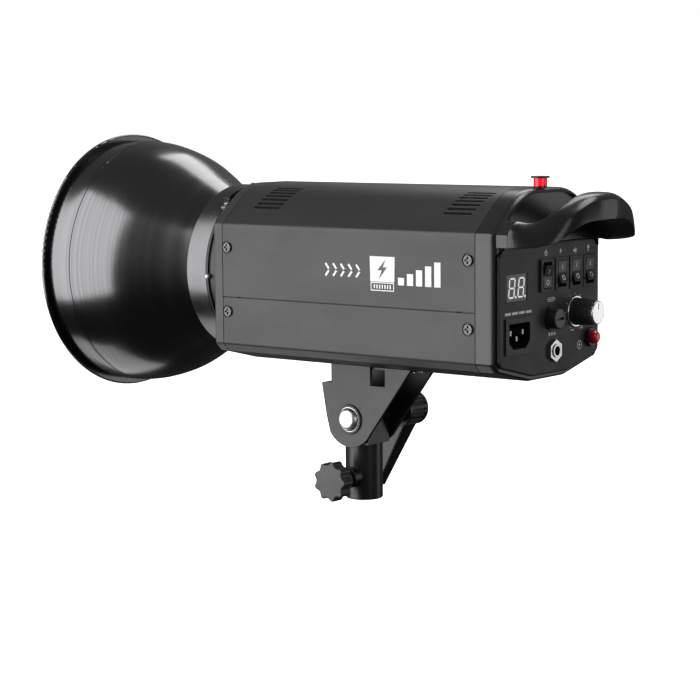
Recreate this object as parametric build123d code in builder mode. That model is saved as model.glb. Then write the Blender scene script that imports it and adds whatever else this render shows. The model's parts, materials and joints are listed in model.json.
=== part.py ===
from build123d import *
import math
import os

# A monolight strobe with its standard reflector, tilt bracket and stand socket.
# Frame: millimetres, +Z up, the light leaves toward -Y, the control panel faces +Y.
# The origin is the centre of the mouth of the stand socket.

os.makedirs("parts", exist_ok=True)

# ---------------------------------------------------------------- lamp housing
HALF_W = 63.0
Z_BOTTOM = 97.0
Z_LOW_CORNER = 106.0
Z_LOW_BEND = 111.5
Z_SPLIT = 144.7
Z_UP_BEND = 195.5
Z_FACET_TOP = 212.0
Z_TOP = 223.3
X_BOTTOM_FLAT = 20.0
X_LOW_CORNER = 57.5
X_FACET_TOP = 44.0
X_TOP_FLAT = 14.3
SHEET = 1.5
FRAME_FRONT = -84.0
FRAME_BACK = -76.0
COVER_FRONT = -75.6
COVER_BACK = 141.0
HOUSING_FRONT = 141.4
HOUSING_BACK = 158.0
LAP_GAP = 0.35
SPIGOT_LONG = 12.0

# ---------------------------------------------------------------- light axis
AXIS_Z = 161.0
RIM_Y = -226.0
RIM_R = 96.0
DISH_T = 1.2
COLLAR_R = 60.0
COLLAR_FRONT = -113.5
COLLAR_BACK = -95.0
DRUM_R = 54.0
DRUM_BORE_R = 50.0
DRUM_FRONT = -109.5
RING_FRONT = -94.6
RING_BACK = -87.1
FLANGE_R = 57.0
FLANGE_FRONT = -86.8

# ---------------------------------------------------------------- control panel
PANEL_Y = 157.4
PANEL_T = 2.4
LEDGE_Y = PANEL_Y - PANEL_T
DISPLAY_X, DISPLAY_Z = 39.0, 160.2
DISPLAY_W, DISPLAY_H = 23.6, 18.0
ROCKER_XS = (5.2, -12.2, -29.6, -46.4)
ROCKER_Z = 166.0
ROCKER_PIVOT_Y = 152.0
ROCKER_TILT = 8.0
INLET_X, INLET_Z = 37.6, 128.9
FUSE_X, FUSE_Z = -1.1, 137.2
JACK_X, JACK_Z = -4.0, 115.4
DIAL_X, DIAL_Z = -30.4, 139.4
TEST_X, TEST_Z = -48.5, 120.6
CELL_Y = 149.4

# ---------------------------------------------------------------- tilt and stand
PIVOT_Z = 58.0
EAR_OUT = 16.0
EAR_T = 2.5
EAR_IN = EAR_OUT - EAR_T
BOLT_R = 5.0
SOCKET_R = 13.3
SOCKET_BORE_R = 8.05
SOCKET_BORE_LONG = 36.0
CLAMP_Z = 16.5
LEVER_HEAD_R = 12.5
LEVER_OUT = -62.0


def on_y(y):
    """Sketch plane across the lamp at a station y: local x is X, local y is Z, facing -Y."""
    return Plane.XZ.offset(-y)


def facing_rear(y):
    """Sketch plane at a station y that faces +Y: local x is -X, local y is Z."""
    return Plane(origin=(0, y, 0), x_dir=(-1, 0, 0), z_dir=(0, 1, 0))


def ring_sector(r_in, r_out, start, end, y_back, y_front):
    """Block between two radii and two angles about the light axis."""
    with BuildPart() as block:
        with BuildSketch(on_y(y_back)):
            with BuildLine():
                low = CenterArc((0, AXIS_Z), r_in, start, end - start)
                high = CenterArc((0, AXIS_Z), r_out, start, end - start)
                Line(low @ 0, high @ 0)
                Line(low @ 1, high @ 1)
            make_face()
        extrude(amount=y_back - y_front)
    return block.part


# Cross-section of the lamp housing, shared by the frame, the covers and the rear housing.
with BuildSketch() as body_section:
    with BuildLine():
        Polyline(
            (0, Z_BOTTOM),
            (X_BOTTOM_FLAT, Z_BOTTOM),
            (X_LOW_CORNER, Z_LOW_CORNER),
            (HALF_W, Z_LOW_BEND),
            (HALF_W, Z_UP_BEND),
            (X_FACET_TOP, Z_FACET_TOP),
        )
        TangentArc(
            (X_FACET_TOP, Z_FACET_TOP),
            (X_TOP_FLAT, Z_TOP),
            tangent=(X_FACET_TOP - HALF_W, Z_FACET_TOP - Z_UP_BEND),
        )
        Line((X_TOP_FLAT, Z_TOP), (0, Z_TOP))
        mirror(about=Plane.YZ)
    make_face()
    fillet(body_section.vertices().sort_by(Axis.Y)[0:2], radius=6)
    fillet(body_section.vertices().filter_by_position(Axis.Y, 105, 112), radius=3)
    fillet(body_section.vertices().filter_by_position(Axis.Y, 195, 196), radius=4)
section = body_section.sketch

with BuildSketch() as sheet_section:
    offset(section, amount=-SHEET, kind=Kind.INTERSECTION)
inner_section = sheet_section.sketch

with BuildSketch() as lap_section:
    offset(section, amount=-(SHEET + 0.1), kind=Kind.INTERSECTION)
spigot_section = lap_section.sketch

with BuildSketch() as hollow_section:
    offset(section, amount=-4.5, kind=Kind.INTERSECTION)
spigot_bore_section = hollow_section.sketch

COVER_LONG = COVER_BACK - COVER_FRONT
SCREW_HEAD_R = 3.75
COUNTERBORE_R = 4.7
COUNTERBORE_DEEP = 0.6
SCREW_PLACES = [
    (-71.2, 179.6),
    (-71.2, 134.4),
    (135.9, 178.6),
    (135.9, 134.0),
]
UPPER_SCREWS = [p for p in SCREW_PLACES if p[1] > Z_SPLIT]
LOWER_SCREWS = [p for p in SCREW_PLACES if p[1] < Z_SPLIT]
# Louvre slots: across position, and how far each one steps forward of the innermost.
VENTS = [(30.5 + 3.1 * i, 1.03 * i) for i in range(7)]
VENT_WIDE = 1.7
REAR_VENT_Y, REAR_VENT_LONG = 123.8, 22.9
FRONT_VENT_Y, FRONT_VENT_LONG = -39.9, 24.0
BRACKET_SCREWS = [(-8, -6), (8, -6), (-8, 42), (8, 42)]

# ---------------------------------------------------------------- upper cover
# Folded sheet over the top and the upper sides, with seven stepped louvre slots at each end and side.
with BuildPart() as upper_cover:
    with BuildSketch(on_y(COVER_BACK)):
        add(section)
        add(inner_section, mode=Mode.SUBTRACT)
    extrude(amount=COVER_LONG)
    with Locations((0, (COVER_FRONT + COVER_BACK) / 2, Z_SPLIT - 50 + LAP_GAP)):
        Box(140, COVER_LONG + 2, 100, mode=Mode.SUBTRACT)
    with BuildSketch(Plane.XY.offset(Z_TOP + 5)):
        for side in (-1, 1):
            for x, step in VENTS:
                with Locations((side * x, REAR_VENT_Y - step)):
                    SlotOverall(REAR_VENT_LONG, VENT_WIDE, rotation=90)
                with Locations((side * x, FRONT_VENT_Y - step)):
                    SlotOverall(FRONT_VENT_LONG, VENT_WIDE, rotation=90)
    extrude(amount=-35, mode=Mode.SUBTRACT)
    for y, z in UPPER_SCREWS:
        with Locations(Location((0, y, z), (0, 90, 0))):
            Cylinder(1.6, 140, mode=Mode.SUBTRACT)
        with Locations(*[Location((side * HALF_W, y, z), (0, 90, 0)) for side in (-1, 1)]):
            Cylinder(COUNTERBORE_R, 2 * COUNTERBORE_DEEP, mode=Mode.SUBTRACT)
upper_cover.part.label = "upper_cover"

# ---------------------------------------------------------------- lower cover
# Folded sheet under the lamp with a lap strip that rises inside the upper cover.
with BuildPart() as lower_cover:
    with BuildSketch(on_y(COVER_BACK)):
        add(section)
        add(inner_section, mode=Mode.SUBTRACT)
    extrude(amount=COVER_LONG)
    with Locations((0, (COVER_FRONT + COVER_BACK) / 2, Z_SPLIT + 50 - LAP_GAP)):
        Box(140, COVER_LONG + 2, 100, mode=Mode.SUBTRACT)
    for side in (-1, 1):
        with Locations((side * 61.0, 33.0, 141.5)):
            Box(2.2, 186, 4.6)
        with Locations((side * 60.65, 33.0, 146.0)):
            Box(1.5, 186, 13.0)
    for y, z in LOWER_SCREWS:
        with Locations(Location((0, y, z), (0, 90, 0))):
            Cylinder(1.6, 140, mode=Mode.SUBTRACT)
        with Locations(*[Location((side * HALF_W, y, z), (0, 90, 0)) for side in (-1, 1)]):
            Cylinder(COUNTERBORE_R, 2 * COUNTERBORE_DEEP, mode=Mode.SUBTRACT)
    with Locations(*[(x, y, Z_BOTTOM) for x, y in BRACKET_SCREWS]):
        Cylinder(2.6, 6, mode=Mode.SUBTRACT)
lower_cover.part.label = "lower_cover"

# ---------------------------------------------------------------- front frame
# Cast frame across the front; its spigot carries the covers and their screws.
with BuildPart() as front_frame:
    with BuildSketch(on_y(FRAME_BACK)):
        add(section)
    extrude(amount=FRAME_BACK - FRAME_FRONT)
    fillet(front_frame.faces().sort_by(Axis.Y)[0].edges(), radius=1.2)
    with BuildSketch(on_y(FRAME_BACK + SPIGOT_LONG)):
        add(spigot_section)
        add(spigot_bore_section, mode=Mode.SUBTRACT)
    extrude(amount=SPIGOT_LONG)
    with BuildSketch(on_y(FRAME_BACK)):
        with Locations((0, AXIS_Z)):
            Circle(DRUM_BORE_R)
    extrude(amount=20, mode=Mode.SUBTRACT)
    for side in (-1, 1):
        for y, z in SCREW_PLACES[0:2]:
            with Locations((side * 56.5, y + 2.2, z)):
                Box(7, 9, 9)
            with Locations(Location((side * 60, y, z), (0, 90, 0))):
                Cylinder(1.55, 20, mode=Mode.SUBTRACT)
front_frame.part.label = "front_frame"

# ---------------------------------------------------------------- rear housing
# Moulded end cap: dome over the top, ledge for the control panel, lugs for the handle.
LUG_BACK = 166.0
LUG_FOOT = 187.4
PANEL_TOP = 187.5
PANEL_GAP = 2.0
DOME_R = 6.0
POCKET_DEEP = 3.4
with BuildSketch() as panel_outline:
    offset(section, amount=-3.4, kind=Kind.INTERSECTION)
    with Locations((0, PANEL_TOP + 30)):
        Rectangle(160, 60, mode=Mode.SUBTRACT)
    chamfer(panel_outline.vertices().sort_by(Axis.Y)[-2:], length=6.5)
panel_face = panel_outline.sketch

with BuildPart() as rear_housing:
    with BuildSketch(on_y(HOUSING_BACK)):
        add(section)
    extrude(amount=HOUSING_BACK - HOUSING_FRONT)
    rear_edges = rear_housing.faces().sort_by(Axis.Y)[-1].edges()
    fillet(rear_edges.filter_by(lambda e: e.center().Z > 200), radius=DOME_R)
    with BuildSketch(on_y(152.0)):
        offset(section, amount=-3.0, kind=Kind.INTERSECTION)
    extrude(amount=20, mode=Mode.SUBTRACT)
    with BuildSketch(on_y(HOUSING_BACK + 5)):
        offset(panel_face, amount=PANEL_GAP, kind=Kind.INTERSECTION)
    extrude(amount=HOUSING_BACK + 5 - LEDGE_Y, mode=Mode.SUBTRACT)
    with BuildSketch(on_y(HOUSING_BACK)):
        offset(panel_face, amount=-3.2, kind=Kind.INTERSECTION)
    extrude(amount=20, mode=Mode.SUBTRACT)
    with BuildSketch(on_y(HOUSING_FRONT)):
        add(spigot_section)
        add(spigot_bore_section, mode=Mode.SUBTRACT)
    extrude(amount=SPIGOT_LONG)
    with BuildSketch(on_y(HOUSING_FRONT + 2.0)):
        add(spigot_section)
        add(spigot_bore_section, mode=Mode.SUBTRACT)
    extrude(amount=2.5)
    with BuildSketch(on_y(HOUSING_BACK)) as pocket:
        offset(section, amount=-3.2, kind=Kind.INTERSECTION)
        with Locations((0, PANEL_TOP + 4.5 - 50)):
            Rectangle(160, 100, mode=Mode.SUBTRACT)
        for side in (-1, 1):
            with Locations((side * (47 + 20), 200)):
                Rectangle(40, 100, mode=Mode.SUBTRACT)
    extrude(amount=POCKET_DEEP, mode=Mode.SUBTRACT)
    with BuildSketch(on_y(LUG_BACK)):
        with BuildLine():
            Polyline(
                (49, LUG_FOOT),
                (HALF_W, LUG_FOOT),
                (HALF_W, Z_UP_BEND),
                (53.4, 203.9),
                (49, 203.9),
                close=True,
            )
        make_face()
        mirror(about=Plane.YZ)
    extrude(amount=LUG_BACK - 157.6)
    for side in (-1, 1):
        for y, z in SCREW_PLACES[2:4]:
            with Locations((side * 56.5, y - 1.7, z)):
                Box(7, 9, 9)
            with Locations(Location((side * 60, y, z), (0, 90, 0))):
                Cylinder(1.55, 20, mode=Mode.SUBTRACT)
    with Locations((0, CELL_Y, Z_TOP)):
        Cylinder(4.7, 20, mode=Mode.SUBTRACT)
rear_housing.part.label = "rear_housing"

# ---------------------------------------------------------------- cover screws
# Eight cross-recess pan heads, four on each side, each sunk in its counterbore.
SCREW_SEAT = HALF_W - COUNTERBORE_DEEP + 0.02
SCREW_PROUD = 0.9
with BuildPart() as cover_screws:
    for side in (-1, 1):
        for y, z in SCREW_PLACES:
            seat = Plane(origin=(side * SCREW_SEAT, y, z), x_dir=(0, 1, 0), z_dir=(side, 0, 0))
            with BuildSketch(seat):
                Circle(SCREW_HEAD_R)
            extrude(amount=COUNTERBORE_DEEP + SCREW_PROUD, taper=18)
            with BuildSketch(seat.offset(COUNTERBORE_DEEP + SCREW_PROUD)):
                Rectangle(4.6, 1.3)
                Rectangle(1.3, 4.6)
            extrude(amount=-1.1, mode=Mode.SUBTRACT)
            with BuildSketch(seat):
                Circle(1.45)
            extrude(amount=-8.3)
cover_screws.part.label = "cover_screws"

# ---------------------------------------------------------------- carrying handle
# One arched moulding: it leaves the lugs at the shoulders, sweeps back and rises over the panel.
# Each station: outer foot (x, y, z) and turn of the outward side, then distance out and height of
# the crease, the shoulder, the ridge, the top of the inner side and the inner foot.
HANDLE_STATIONS = [
    ((63.0, 166.1, 187.4), 0, (0.0, 190.4), (-0.5, 196.0), (-9.4, 203.7), (-12.9, 202.4), (-14.0, 187.6)),
    ((61.0, 176.0, 187.8), 15, (-0.3, 190.8), (-1.8, 196.6), (-9.8, 203.0), (-13.4, 201.8), (-14.2, 188.0)),
    ((55.0, 186.6, 188.8), 42, (-1.2, 192.2), (-4.2, 198.8), (-10.2, 204.2), (-14.0, 203.0), (-14.8, 189.4)),
    ((47.0, 193.6, 191.6), 58, (-1.6, 199.4), (-5.2, 204.6), (-10.8, 208.2), (-14.8, 206.6), (-15.6, 192.0)),
    ((38.6, 197.6, 196.4), 66, (-0.8, 206.0), (-4.4, 209.8), (-10.8, 212.4), (-15.4, 210.6), (-16.6, 196.4)),
    ((27.0, 200.4, 201.8), 74, (-0.2, 212.4), (-3.6, 215.2), (-10.6, 217.0), (-16.4, 214.8), (-18.0, 201.8)),
    ((13.6, 202.4, 203.6), 83, (0.0, 216.2), (-3.0, 219.0), (-9.8, 220.3), (-17.4, 217.8), (-19.4, 203.6)),
    ((0.0, 203.0, 203.9), 90, (0.0, 216.9), (-3.0, 219.8), (-9.8, 221.1), (-17.6, 218.5), (-19.6, 203.9)),
]
FAR_STATIONS = [((-p[0], p[1], p[2]), 180 - a, *rest) for p, a, *rest in reversed(HANDLE_STATIONS[:-1])]
with BuildPart() as handle:
    for place, turn, crease, shoulder, ridge, top, foot in HANDLE_STATIONS + FAR_STATIONS:
        outward = (math.cos(math.radians(turn)), math.sin(math.radians(turn)), 0)
        facing = (math.sin(math.radians(turn)), -math.cos(math.radians(turn)), 0)
        with BuildSketch(Plane(origin=(place[0], place[1], 0), x_dir=outward, z_dir=facing)):
            with BuildLine():
                low = place[2]
                bulge = 0.1 + crease[0] / 2 + 0.03 * (crease[1] - low)
                ThreePointArc((0, low), (bulge, (low + crease[1]) / 2), crease)
                Spline(crease, shoulder, ridge)
                waist = (foot[0], foot[1] + 0.55 * (ridge[1] - foot[1]))
                Spline(ridge, top, waist, foot)
                ThreePointArc(foot, (foot[0] / 2, (low + foot[1]) / 2 - 1.0), (0, low))
            make_face()
    loft()
handle.part.label = "handle"

# ---------------------------------------------------------------- control panel
with BuildPart() as rear_panel:
    with BuildSketch(on_y(PANEL_Y)):
        add(panel_face)
    extrude(amount=PANEL_T)
    fillet(rear_panel.faces().sort_by(Axis.Y)[-1].edges(), radius=1.2)
    with BuildSketch(on_y(PANEL_Y)):
        with Locations((DISPLAY_X, DISPLAY_Z)):
            Rectangle(DISPLAY_W, DISPLAY_H)
        with Locations(*[(x, ROCKER_Z) for x in ROCKER_XS]):
            Rectangle(12.6, 19.0)
        with Locations((INLET_X, INLET_Z)):
            Rectangle(27.2, 20.2)
        with Locations((FUSE_X, FUSE_Z)):
            Circle(6.2)
        with Locations((JACK_X, JACK_Z)):
            Circle(4.6)
        with Locations((DIAL_X, DIAL_Z)):
            Circle(3.6)
        with Locations((TEST_X, TEST_Z)):
            Circle(5.3)
    extrude(amount=PANEL_T, mode=Mode.SUBTRACT)
rear_panel.part.label = "rear_panel"

# ---------------------------------------------------------------- power display
with BuildPart() as display_module:
    with BuildSketch(on_y(PANEL_Y - 0.4)):
        with Locations((DISPLAY_X, DISPLAY_Z)):
            Rectangle(DISPLAY_W - 0.2, DISPLAY_H - 0.2)
    extrude(amount=9)
display_module.part.label = "display_module"

# Two seven-segment digits with their points, leaning slightly, standing just off the module face.
DIGIT_H = 13.2
DIGIT_W = 7.0
SEG = 1.0
with BuildPart() as display_segments:
    with BuildSketch(facing_rear(PANEL_Y - 0.4)):
        for centre in (-5.6, 5.0):
            for row in (-1, 0, 1):
                z = row * (DIGIT_H - SEG) / 2
                with Locations((-DISPLAY_X + centre + z * 0.12, DISPLAY_Z + z)):
                    SlotOverall(DIGIT_W - 1.9, SEG)
            for column in (-1, 1):
                for row in (-1, 1):
                    z = row * (DIGIT_H - SEG) / 4
                    x = column * (DIGIT_W - SEG) / 2
                    with Locations((-DISPLAY_X + centre + x + z * 0.12, DISPLAY_Z + z)):
                        SlotOverall(DIGIT_H / 2 - 1.5, SEG, rotation=83)
            with Locations((-DISPLAY_X + centre + 4.4, DISPLAY_Z - 6.0)):
                Circle(0.8)
    extrude(amount=0.25)
display_segments.part.label = "display_segments"

# ---------------------------------------------------------------- rocker switches
# Four bezels in a row; each body reaches behind the panel and is open for its rocker.
with BuildPart() as rocker_bezels:
    with BuildSketch(facing_rear(PANEL_Y)):
        with Locations(*[(-x, ROCKER_Z) for x in ROCKER_XS]):
            RectangleRounded(15.6, 21.6, 0.8)
    extrude(amount=1.6)
    with BuildSketch(facing_rear(PANEL_Y)):
        with Locations(*[(-x, ROCKER_Z) for x in ROCKER_XS]):
            Rectangle(12.4, 18.8)
    extrude(amount=-15.0)
    with BuildSketch(facing_rear(PANEL_Y + 1.6)):
        with Locations(*[(-x, ROCKER_Z) for x in ROCKER_XS]):
            Rectangle(10.2, 17.4)
    extrude(amount=-13.0, mode=Mode.SUBTRACT)
rocker_bezels.part.label = "rocker_bezels"


def rocker(x, tilt, label):
    """One rocker: shallow V face and round belly, turned about its pivot to its set position."""
    with BuildPart() as piece:
        with BuildSketch(Plane.YZ.offset(-4.8)):
            with BuildLine():
                Polyline((1.5, 7.4), (8.4, 7.4), (6.9, 0), (8.4, -7.4), (1.5, -7.4))
                ThreePointArc((1.5, -7.4), (-3.4, 0), (1.5, 7.4))
            make_face()
        extrude(amount=9.6)
        long_edges = piece.edges().filter_by(Axis.X).sort_by(Axis.Y)
        fillet(long_edges[-3:-1], radius=0.5)
    placed = Location((x, ROCKER_PIVOT_Y, ROCKER_Z)) * Rot(tilt, 0, 0) * piece.part
    placed.label = label
    return placed


rocker_1 = rocker(ROCKER_XS[0], -ROCKER_TILT, "rocker_1")
rocker_2 = rocker(ROCKER_XS[1], ROCKER_TILT, "rocker_2")
rocker_3 = rocker(ROCKER_XS[2], ROCKER_TILT, "rocker_3")
rocker_4 = rocker(ROCKER_XS[3], ROCKER_TILT, "rocker_4")

# ---------------------------------------------------------------- mains inlet
# Three-pin inlet, the two lower corners of its cavity cut off.
INLET_PROUD = 1.1
INLET_FLOOR = 15.7
with BuildPart() as mains_inlet:
    with BuildSketch(facing_rear(PANEL_Y)):
        with Locations((-INLET_X, INLET_Z)):
            RectangleRounded(31.0, 24.0, 1.0)
    extrude(amount=INLET_PROUD)
    with BuildSketch(facing_rear(PANEL_Y)):
        with Locations((-INLET_X, INLET_Z)):
            Rectangle(27.0, 20.0)
    extrude(amount=-20)
    with BuildSketch(facing_rear(PANEL_Y + INLET_PROUD)) as cavity:
        with Locations((-INLET_X, INLET_Z)):
            Rectangle(24.0, 16.8)
        chamfer(cavity.vertices().sort_by(Axis.Y)[0:2], length=4.8)
    extrude(amount=-(INLET_FLOOR + INLET_PROUD), mode=Mode.SUBTRACT)
mains_inlet.part.label = "mains_inlet"

with BuildPart() as inlet_pins:
    with BuildSketch(facing_rear(PANEL_Y - INLET_FLOOR)):
        with Locations((-INLET_X - 7, INLET_Z + 2), (-INLET_X + 7, INLET_Z + 2), (-INLET_X, INLET_Z - 2)):
            Rectangle(2.0, 4.0)
    extrude(amount=14.5)
    fillet(inlet_pins.faces().sort_by(Axis.Y)[-3:].edges().filter_by(Axis.X), radius=0.7)
inlet_pins.part.label = "inlet_pins"

# ---------------------------------------------------------------- fuse
with BuildPart() as fuse_holder:
    with BuildSketch(facing_rear(PANEL_Y)):
        with Locations((-FUSE_X, FUSE_Z)):
            Circle(8.2)
    extrude(amount=1.6)
    with BuildSketch(facing_rear(PANEL_Y)):
        with Locations((-FUSE_X, FUSE_Z)):
            Circle(6.1)
    extrude(amount=-26)
    with BuildSketch(facing_rear(PANEL_Y + 1.6)):
        with Locations((-FUSE_X, FUSE_Z)):
            Circle(4.9)
    extrude(amount=-25, mode=Mode.SUBTRACT)
fuse_holder.part.label = "fuse_holder"

with BuildPart() as fuse_cap:
    with BuildSketch(facing_rear(PANEL_Y + 1.8)):
        with Locations((-FUSE_X, FUSE_Z)):
            Circle(7.2)
    extrude(amount=5.6, taper=4)
    fillet(fuse_cap.faces().sort_by(Axis.Y)[-1].edges(), radius=0.8)
    with BuildSketch(facing_rear(PANEL_Y + 1.8)):
        with Locations((-FUSE_X, FUSE_Z)):
            Circle(4.8)
    extrude(amount=-7)
    with BuildSketch(facing_rear(PANEL_Y + 7.4)):
        with Locations((-FUSE_X, FUSE_Z)):
            Rectangle(8.4, 1.6)
    extrude(amount=-1.6, mode=Mode.SUBTRACT)
    with BuildSketch(facing_rear(PANEL_Y - 5.2)):
        with Locations((-FUSE_X, FUSE_Z)):
            Circle(2.7)
    extrude(amount=4.5, mode=Mode.SUBTRACT)
    with BuildSketch(facing_rear(PANEL_Y + 2.8)):
        with Locations((-FUSE_X, FUSE_Z)):
            with PolarLocations(7.4, 18):
                Circle(0.5)
    extrude(amount=6, mode=Mode.SUBTRACT)
fuse_cap.part.label = "fuse_cap"

with BuildPart() as fuse:
    with BuildSketch(facing_rear(PANEL_Y - 20.8)):
        with Locations((-FUSE_X, FUSE_Z)):
            Circle(2.6)
    extrude(amount=20.0)
fuse.part.label = "fuse"

# ---------------------------------------------------------------- sync socket
with BuildPart() as sync_jack:
    with BuildSketch(facing_rear(PANEL_Y - 18)):
        with Locations((-JACK_X, JACK_Z)):
            Rectangle(13, 13)
    extrude(amount=18 - PANEL_T)
    with BuildSketch(facing_rear(PANEL_Y - PANEL_T)):
        with Locations((-JACK_X, JACK_Z)):
            Circle(4.5)
    extrude(amount=PANEL_T + 3.2)
    with BuildSketch(facing_rear(PANEL_Y + 3.2)):
        with Locations((-JACK_X, JACK_Z)):
            Circle(3.2)
    extrude(amount=-18, mode=Mode.SUBTRACT)
sync_jack.part.label = "sync_jack"

with BuildPart() as jack_nut:
    with BuildSketch(facing_rear(PANEL_Y)):
        with Locations((-JACK_X, JACK_Z)):
            RegularPolygon(radius=7.6, side_count=6, rotation=30)
            Circle(4.6, mode=Mode.SUBTRACT)
    extrude(amount=2.4)
jack_nut.part.label = "jack_nut"

# ---------------------------------------------------------------- power dial
with BuildPart() as potentiometer:
    with BuildSketch(facing_rear(PANEL_Y - PANEL_T - 10)):
        with Locations((-DIAL_X, DIAL_Z)):
            Circle(8.2)
    extrude(amount=10)
    with BuildSketch(facing_rear(PANEL_Y - PANEL_T)):
        with Locations((-DIAL_X, DIAL_Z)):
            Circle(3.5)
    extrude(amount=PANEL_T + 4)
    with BuildSketch(facing_rear(PANEL_Y + 4)):
        with Locations((-DIAL_X, DIAL_Z)):
            Circle(2.05)
    extrude(amount=-14, mode=Mode.SUBTRACT)
potentiometer.part.label = "potentiometer"

with BuildPart() as dial_ring:
    with BuildSketch(facing_rear(PANEL_Y)):
        with Locations((-DIAL_X, DIAL_Z)):
            Circle(10.6)
            Circle(9.0, mode=Mode.SUBTRACT)
    extrude(amount=1.5)
    fillet(dial_ring.faces().sort_by(Axis.Y)[-1].edges(), radius=0.5)
dial_ring.part.label = "dial_ring"

with BuildPart() as dial_shaft:
    with BuildSketch(facing_rear(PANEL_Y - 9.5)):
        with Locations((-DIAL_X, DIAL_Z)):
            Circle(2.0)
    extrude(amount=24.0)
dial_shaft.part.label = "dial_shaft"

with BuildPart() as power_knob:
    with BuildSketch(facing_rear(PANEL_Y + 1.9)):
        with Locations((-DIAL_X, DIAL_Z)):
            Circle(9.2)
    extrude(amount=14.2, taper=3)
    with BuildSketch(facing_rear(PANEL_Y + 3.2)):
        with Locations((-DIAL_X, DIAL_Z)):
            with PolarLocations(9.35, 24):
                Circle(0.55)
    extrude(amount=14, mode=Mode.SUBTRACT)
    with BuildSketch(facing_rear(PANEL_Y + 1.9)):
        with Locations((-DIAL_X, DIAL_Z)):
            Circle(4.2)
    extrude(amount=3.0, mode=Mode.SUBTRACT)
    with BuildSketch(facing_rear(PANEL_Y + 1.9)):
        with Locations((-DIAL_X, DIAL_Z)):
            Circle(2.0)
    extrude(amount=12.6, mode=Mode.SUBTRACT)
power_knob.part.label = "power_knob"

with BuildPart() as knob_cap:
    with BuildSketch(facing_rear(PANEL_Y + 16.1)):
        with Locations((-DIAL_X, DIAL_Z)):
            Circle(8.0)
    extrude(amount=2.4)
    fillet(knob_cap.faces().sort_by(Axis.Y)[-1].edges(), radius=0.9)
knob_cap.part.label = "knob_cap"

# ---------------------------------------------------------------- test button
with BuildPart() as test_bezel:
    with BuildSketch(facing_rear(PANEL_Y)):
        with Locations((-TEST_X, TEST_Z)):
            Circle(6.8)
    extrude(amount=3.0, taper=8)
    with BuildSketch(facing_rear(PANEL_Y)):
        with Locations((-TEST_X, TEST_Z)):
            Circle(5.2)
    extrude(amount=-12)
    with BuildSketch(facing_rear(PANEL_Y + 3)):
        with Locations((-TEST_X, TEST_Z)):
            Circle(4.5)
    extrude(amount=-13, mode=Mode.SUBTRACT)
test_bezel.part.label = "test_bezel"

with BuildPart() as test_button:
    with BuildSketch(facing_rear(PANEL_Y - 6.5)):
        with Locations((-TEST_X, TEST_Z)):
            Circle(4.3)
    extrude(amount=13.6)
    fillet(test_button.faces().sort_by(Axis.Y)[-1].edges(), radius=2.6)
test_button.part.label = "test_button"

# ---------------------------------------------------------------- slave photocell
with BuildPart() as photocell_lens:
    with BuildSketch(Plane.XY.offset(Z_TOP - 3.0)):
        with Locations((0, CELL_Y)):
            Circle(4.5)
    extrude(amount=9.2)
photocell_lens.part.label = "photocell_lens"

with BuildPart() as photocell_cap:
    with BuildSketch(Plane.XY.offset(Z_TOP + 6.2)):
        with Locations((0, CELL_Y)):
            Circle(6.2)
    extrude(amount=1.3)
    fillet(photocell_cap.edges(), radius=0.3)
photocell_cap.part.label = "photocell_cap"

# Sensor block, glued under the dome.
with BuildPart() as photocell_base:
    with Locations((0, 147.8, Z_TOP - 3.0 - 2.5)):
        Box(12, 8.0, 5)
photocell_base.part.label = "photocell_base"

# ---------------------------------------------------------------- reflector
# Spun bowl: flat turned-out rim, a fine groove behind it, deep curve down to a throat that is
# narrower than the collar, then a flange out to the straight neck inside the collar.
RIM_DEEP = 2.9
RIM_TALL = 6.1
GROOVE_Y = -201.4
GROOVE_R = 90.8
NECK_R = 58.2
DISH_CURVE = [
    (-223.4, 91.3),
    (-212.0, 91.3),
    (GROOVE_Y, GROOVE_R),
    (-190.0, 88.9),
    (-180.0, 86.2),
    (-170.0, 82.7),
    (-160.0, 77.9),
    (-150.0, 72.1),
    (-140.0, 66.2),
    (-130.0, 60.6),
    (-121.0, 55.8),
    (COLLAR_FRONT - DISH_T, 52.7),
]
DISH_NECK_END = -99.0
with BuildPart() as reflector_dish:
    with BuildSketch(Plane.YZ):
        with BuildLine():
            outer = Spline(*[(y, AXIS_Z + r) for y, r in DISH_CURVE])
            flange = Polyline(
                outer @ 1,
                (COLLAR_FRONT - DISH_T, AXIS_Z + NECK_R),
                (DISH_NECK_END, AXIS_Z + NECK_R),
                (DISH_NECK_END, AXIS_Z + NECK_R - DISH_T),
                (COLLAR_FRONT, AXIS_Z + NECK_R - DISH_T),
                (COLLAR_FRONT, AXIS_Z + DISH_CURVE[-1][1] - DISH_T),
            )
            inner = Spline(*[(y, AXIS_Z + r - DISH_T) for y, r in reversed(DISH_CURVE)])
            Line(flange @ 1, inner @ 0)
            Line(inner @ 1, outer @ 0)
        make_face()
        with Locations((RIM_Y + RIM_DEEP / 2, AXIS_Z + RIM_R - RIM_TALL / 2)):
            RectangleRounded(RIM_DEEP, RIM_TALL, 1.2)
        with Locations((GROOVE_Y, AXIS_Z + GROOVE_R)):
            Rectangle(1.2, 0.9, rotation=-7, mode=Mode.SUBTRACT)
    revolve(axis=Axis((0, 0, AXIS_Z), (0, 1, 0)), revolution_arc=360)
reflector_dish.part.label = "reflector_dish"

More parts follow.
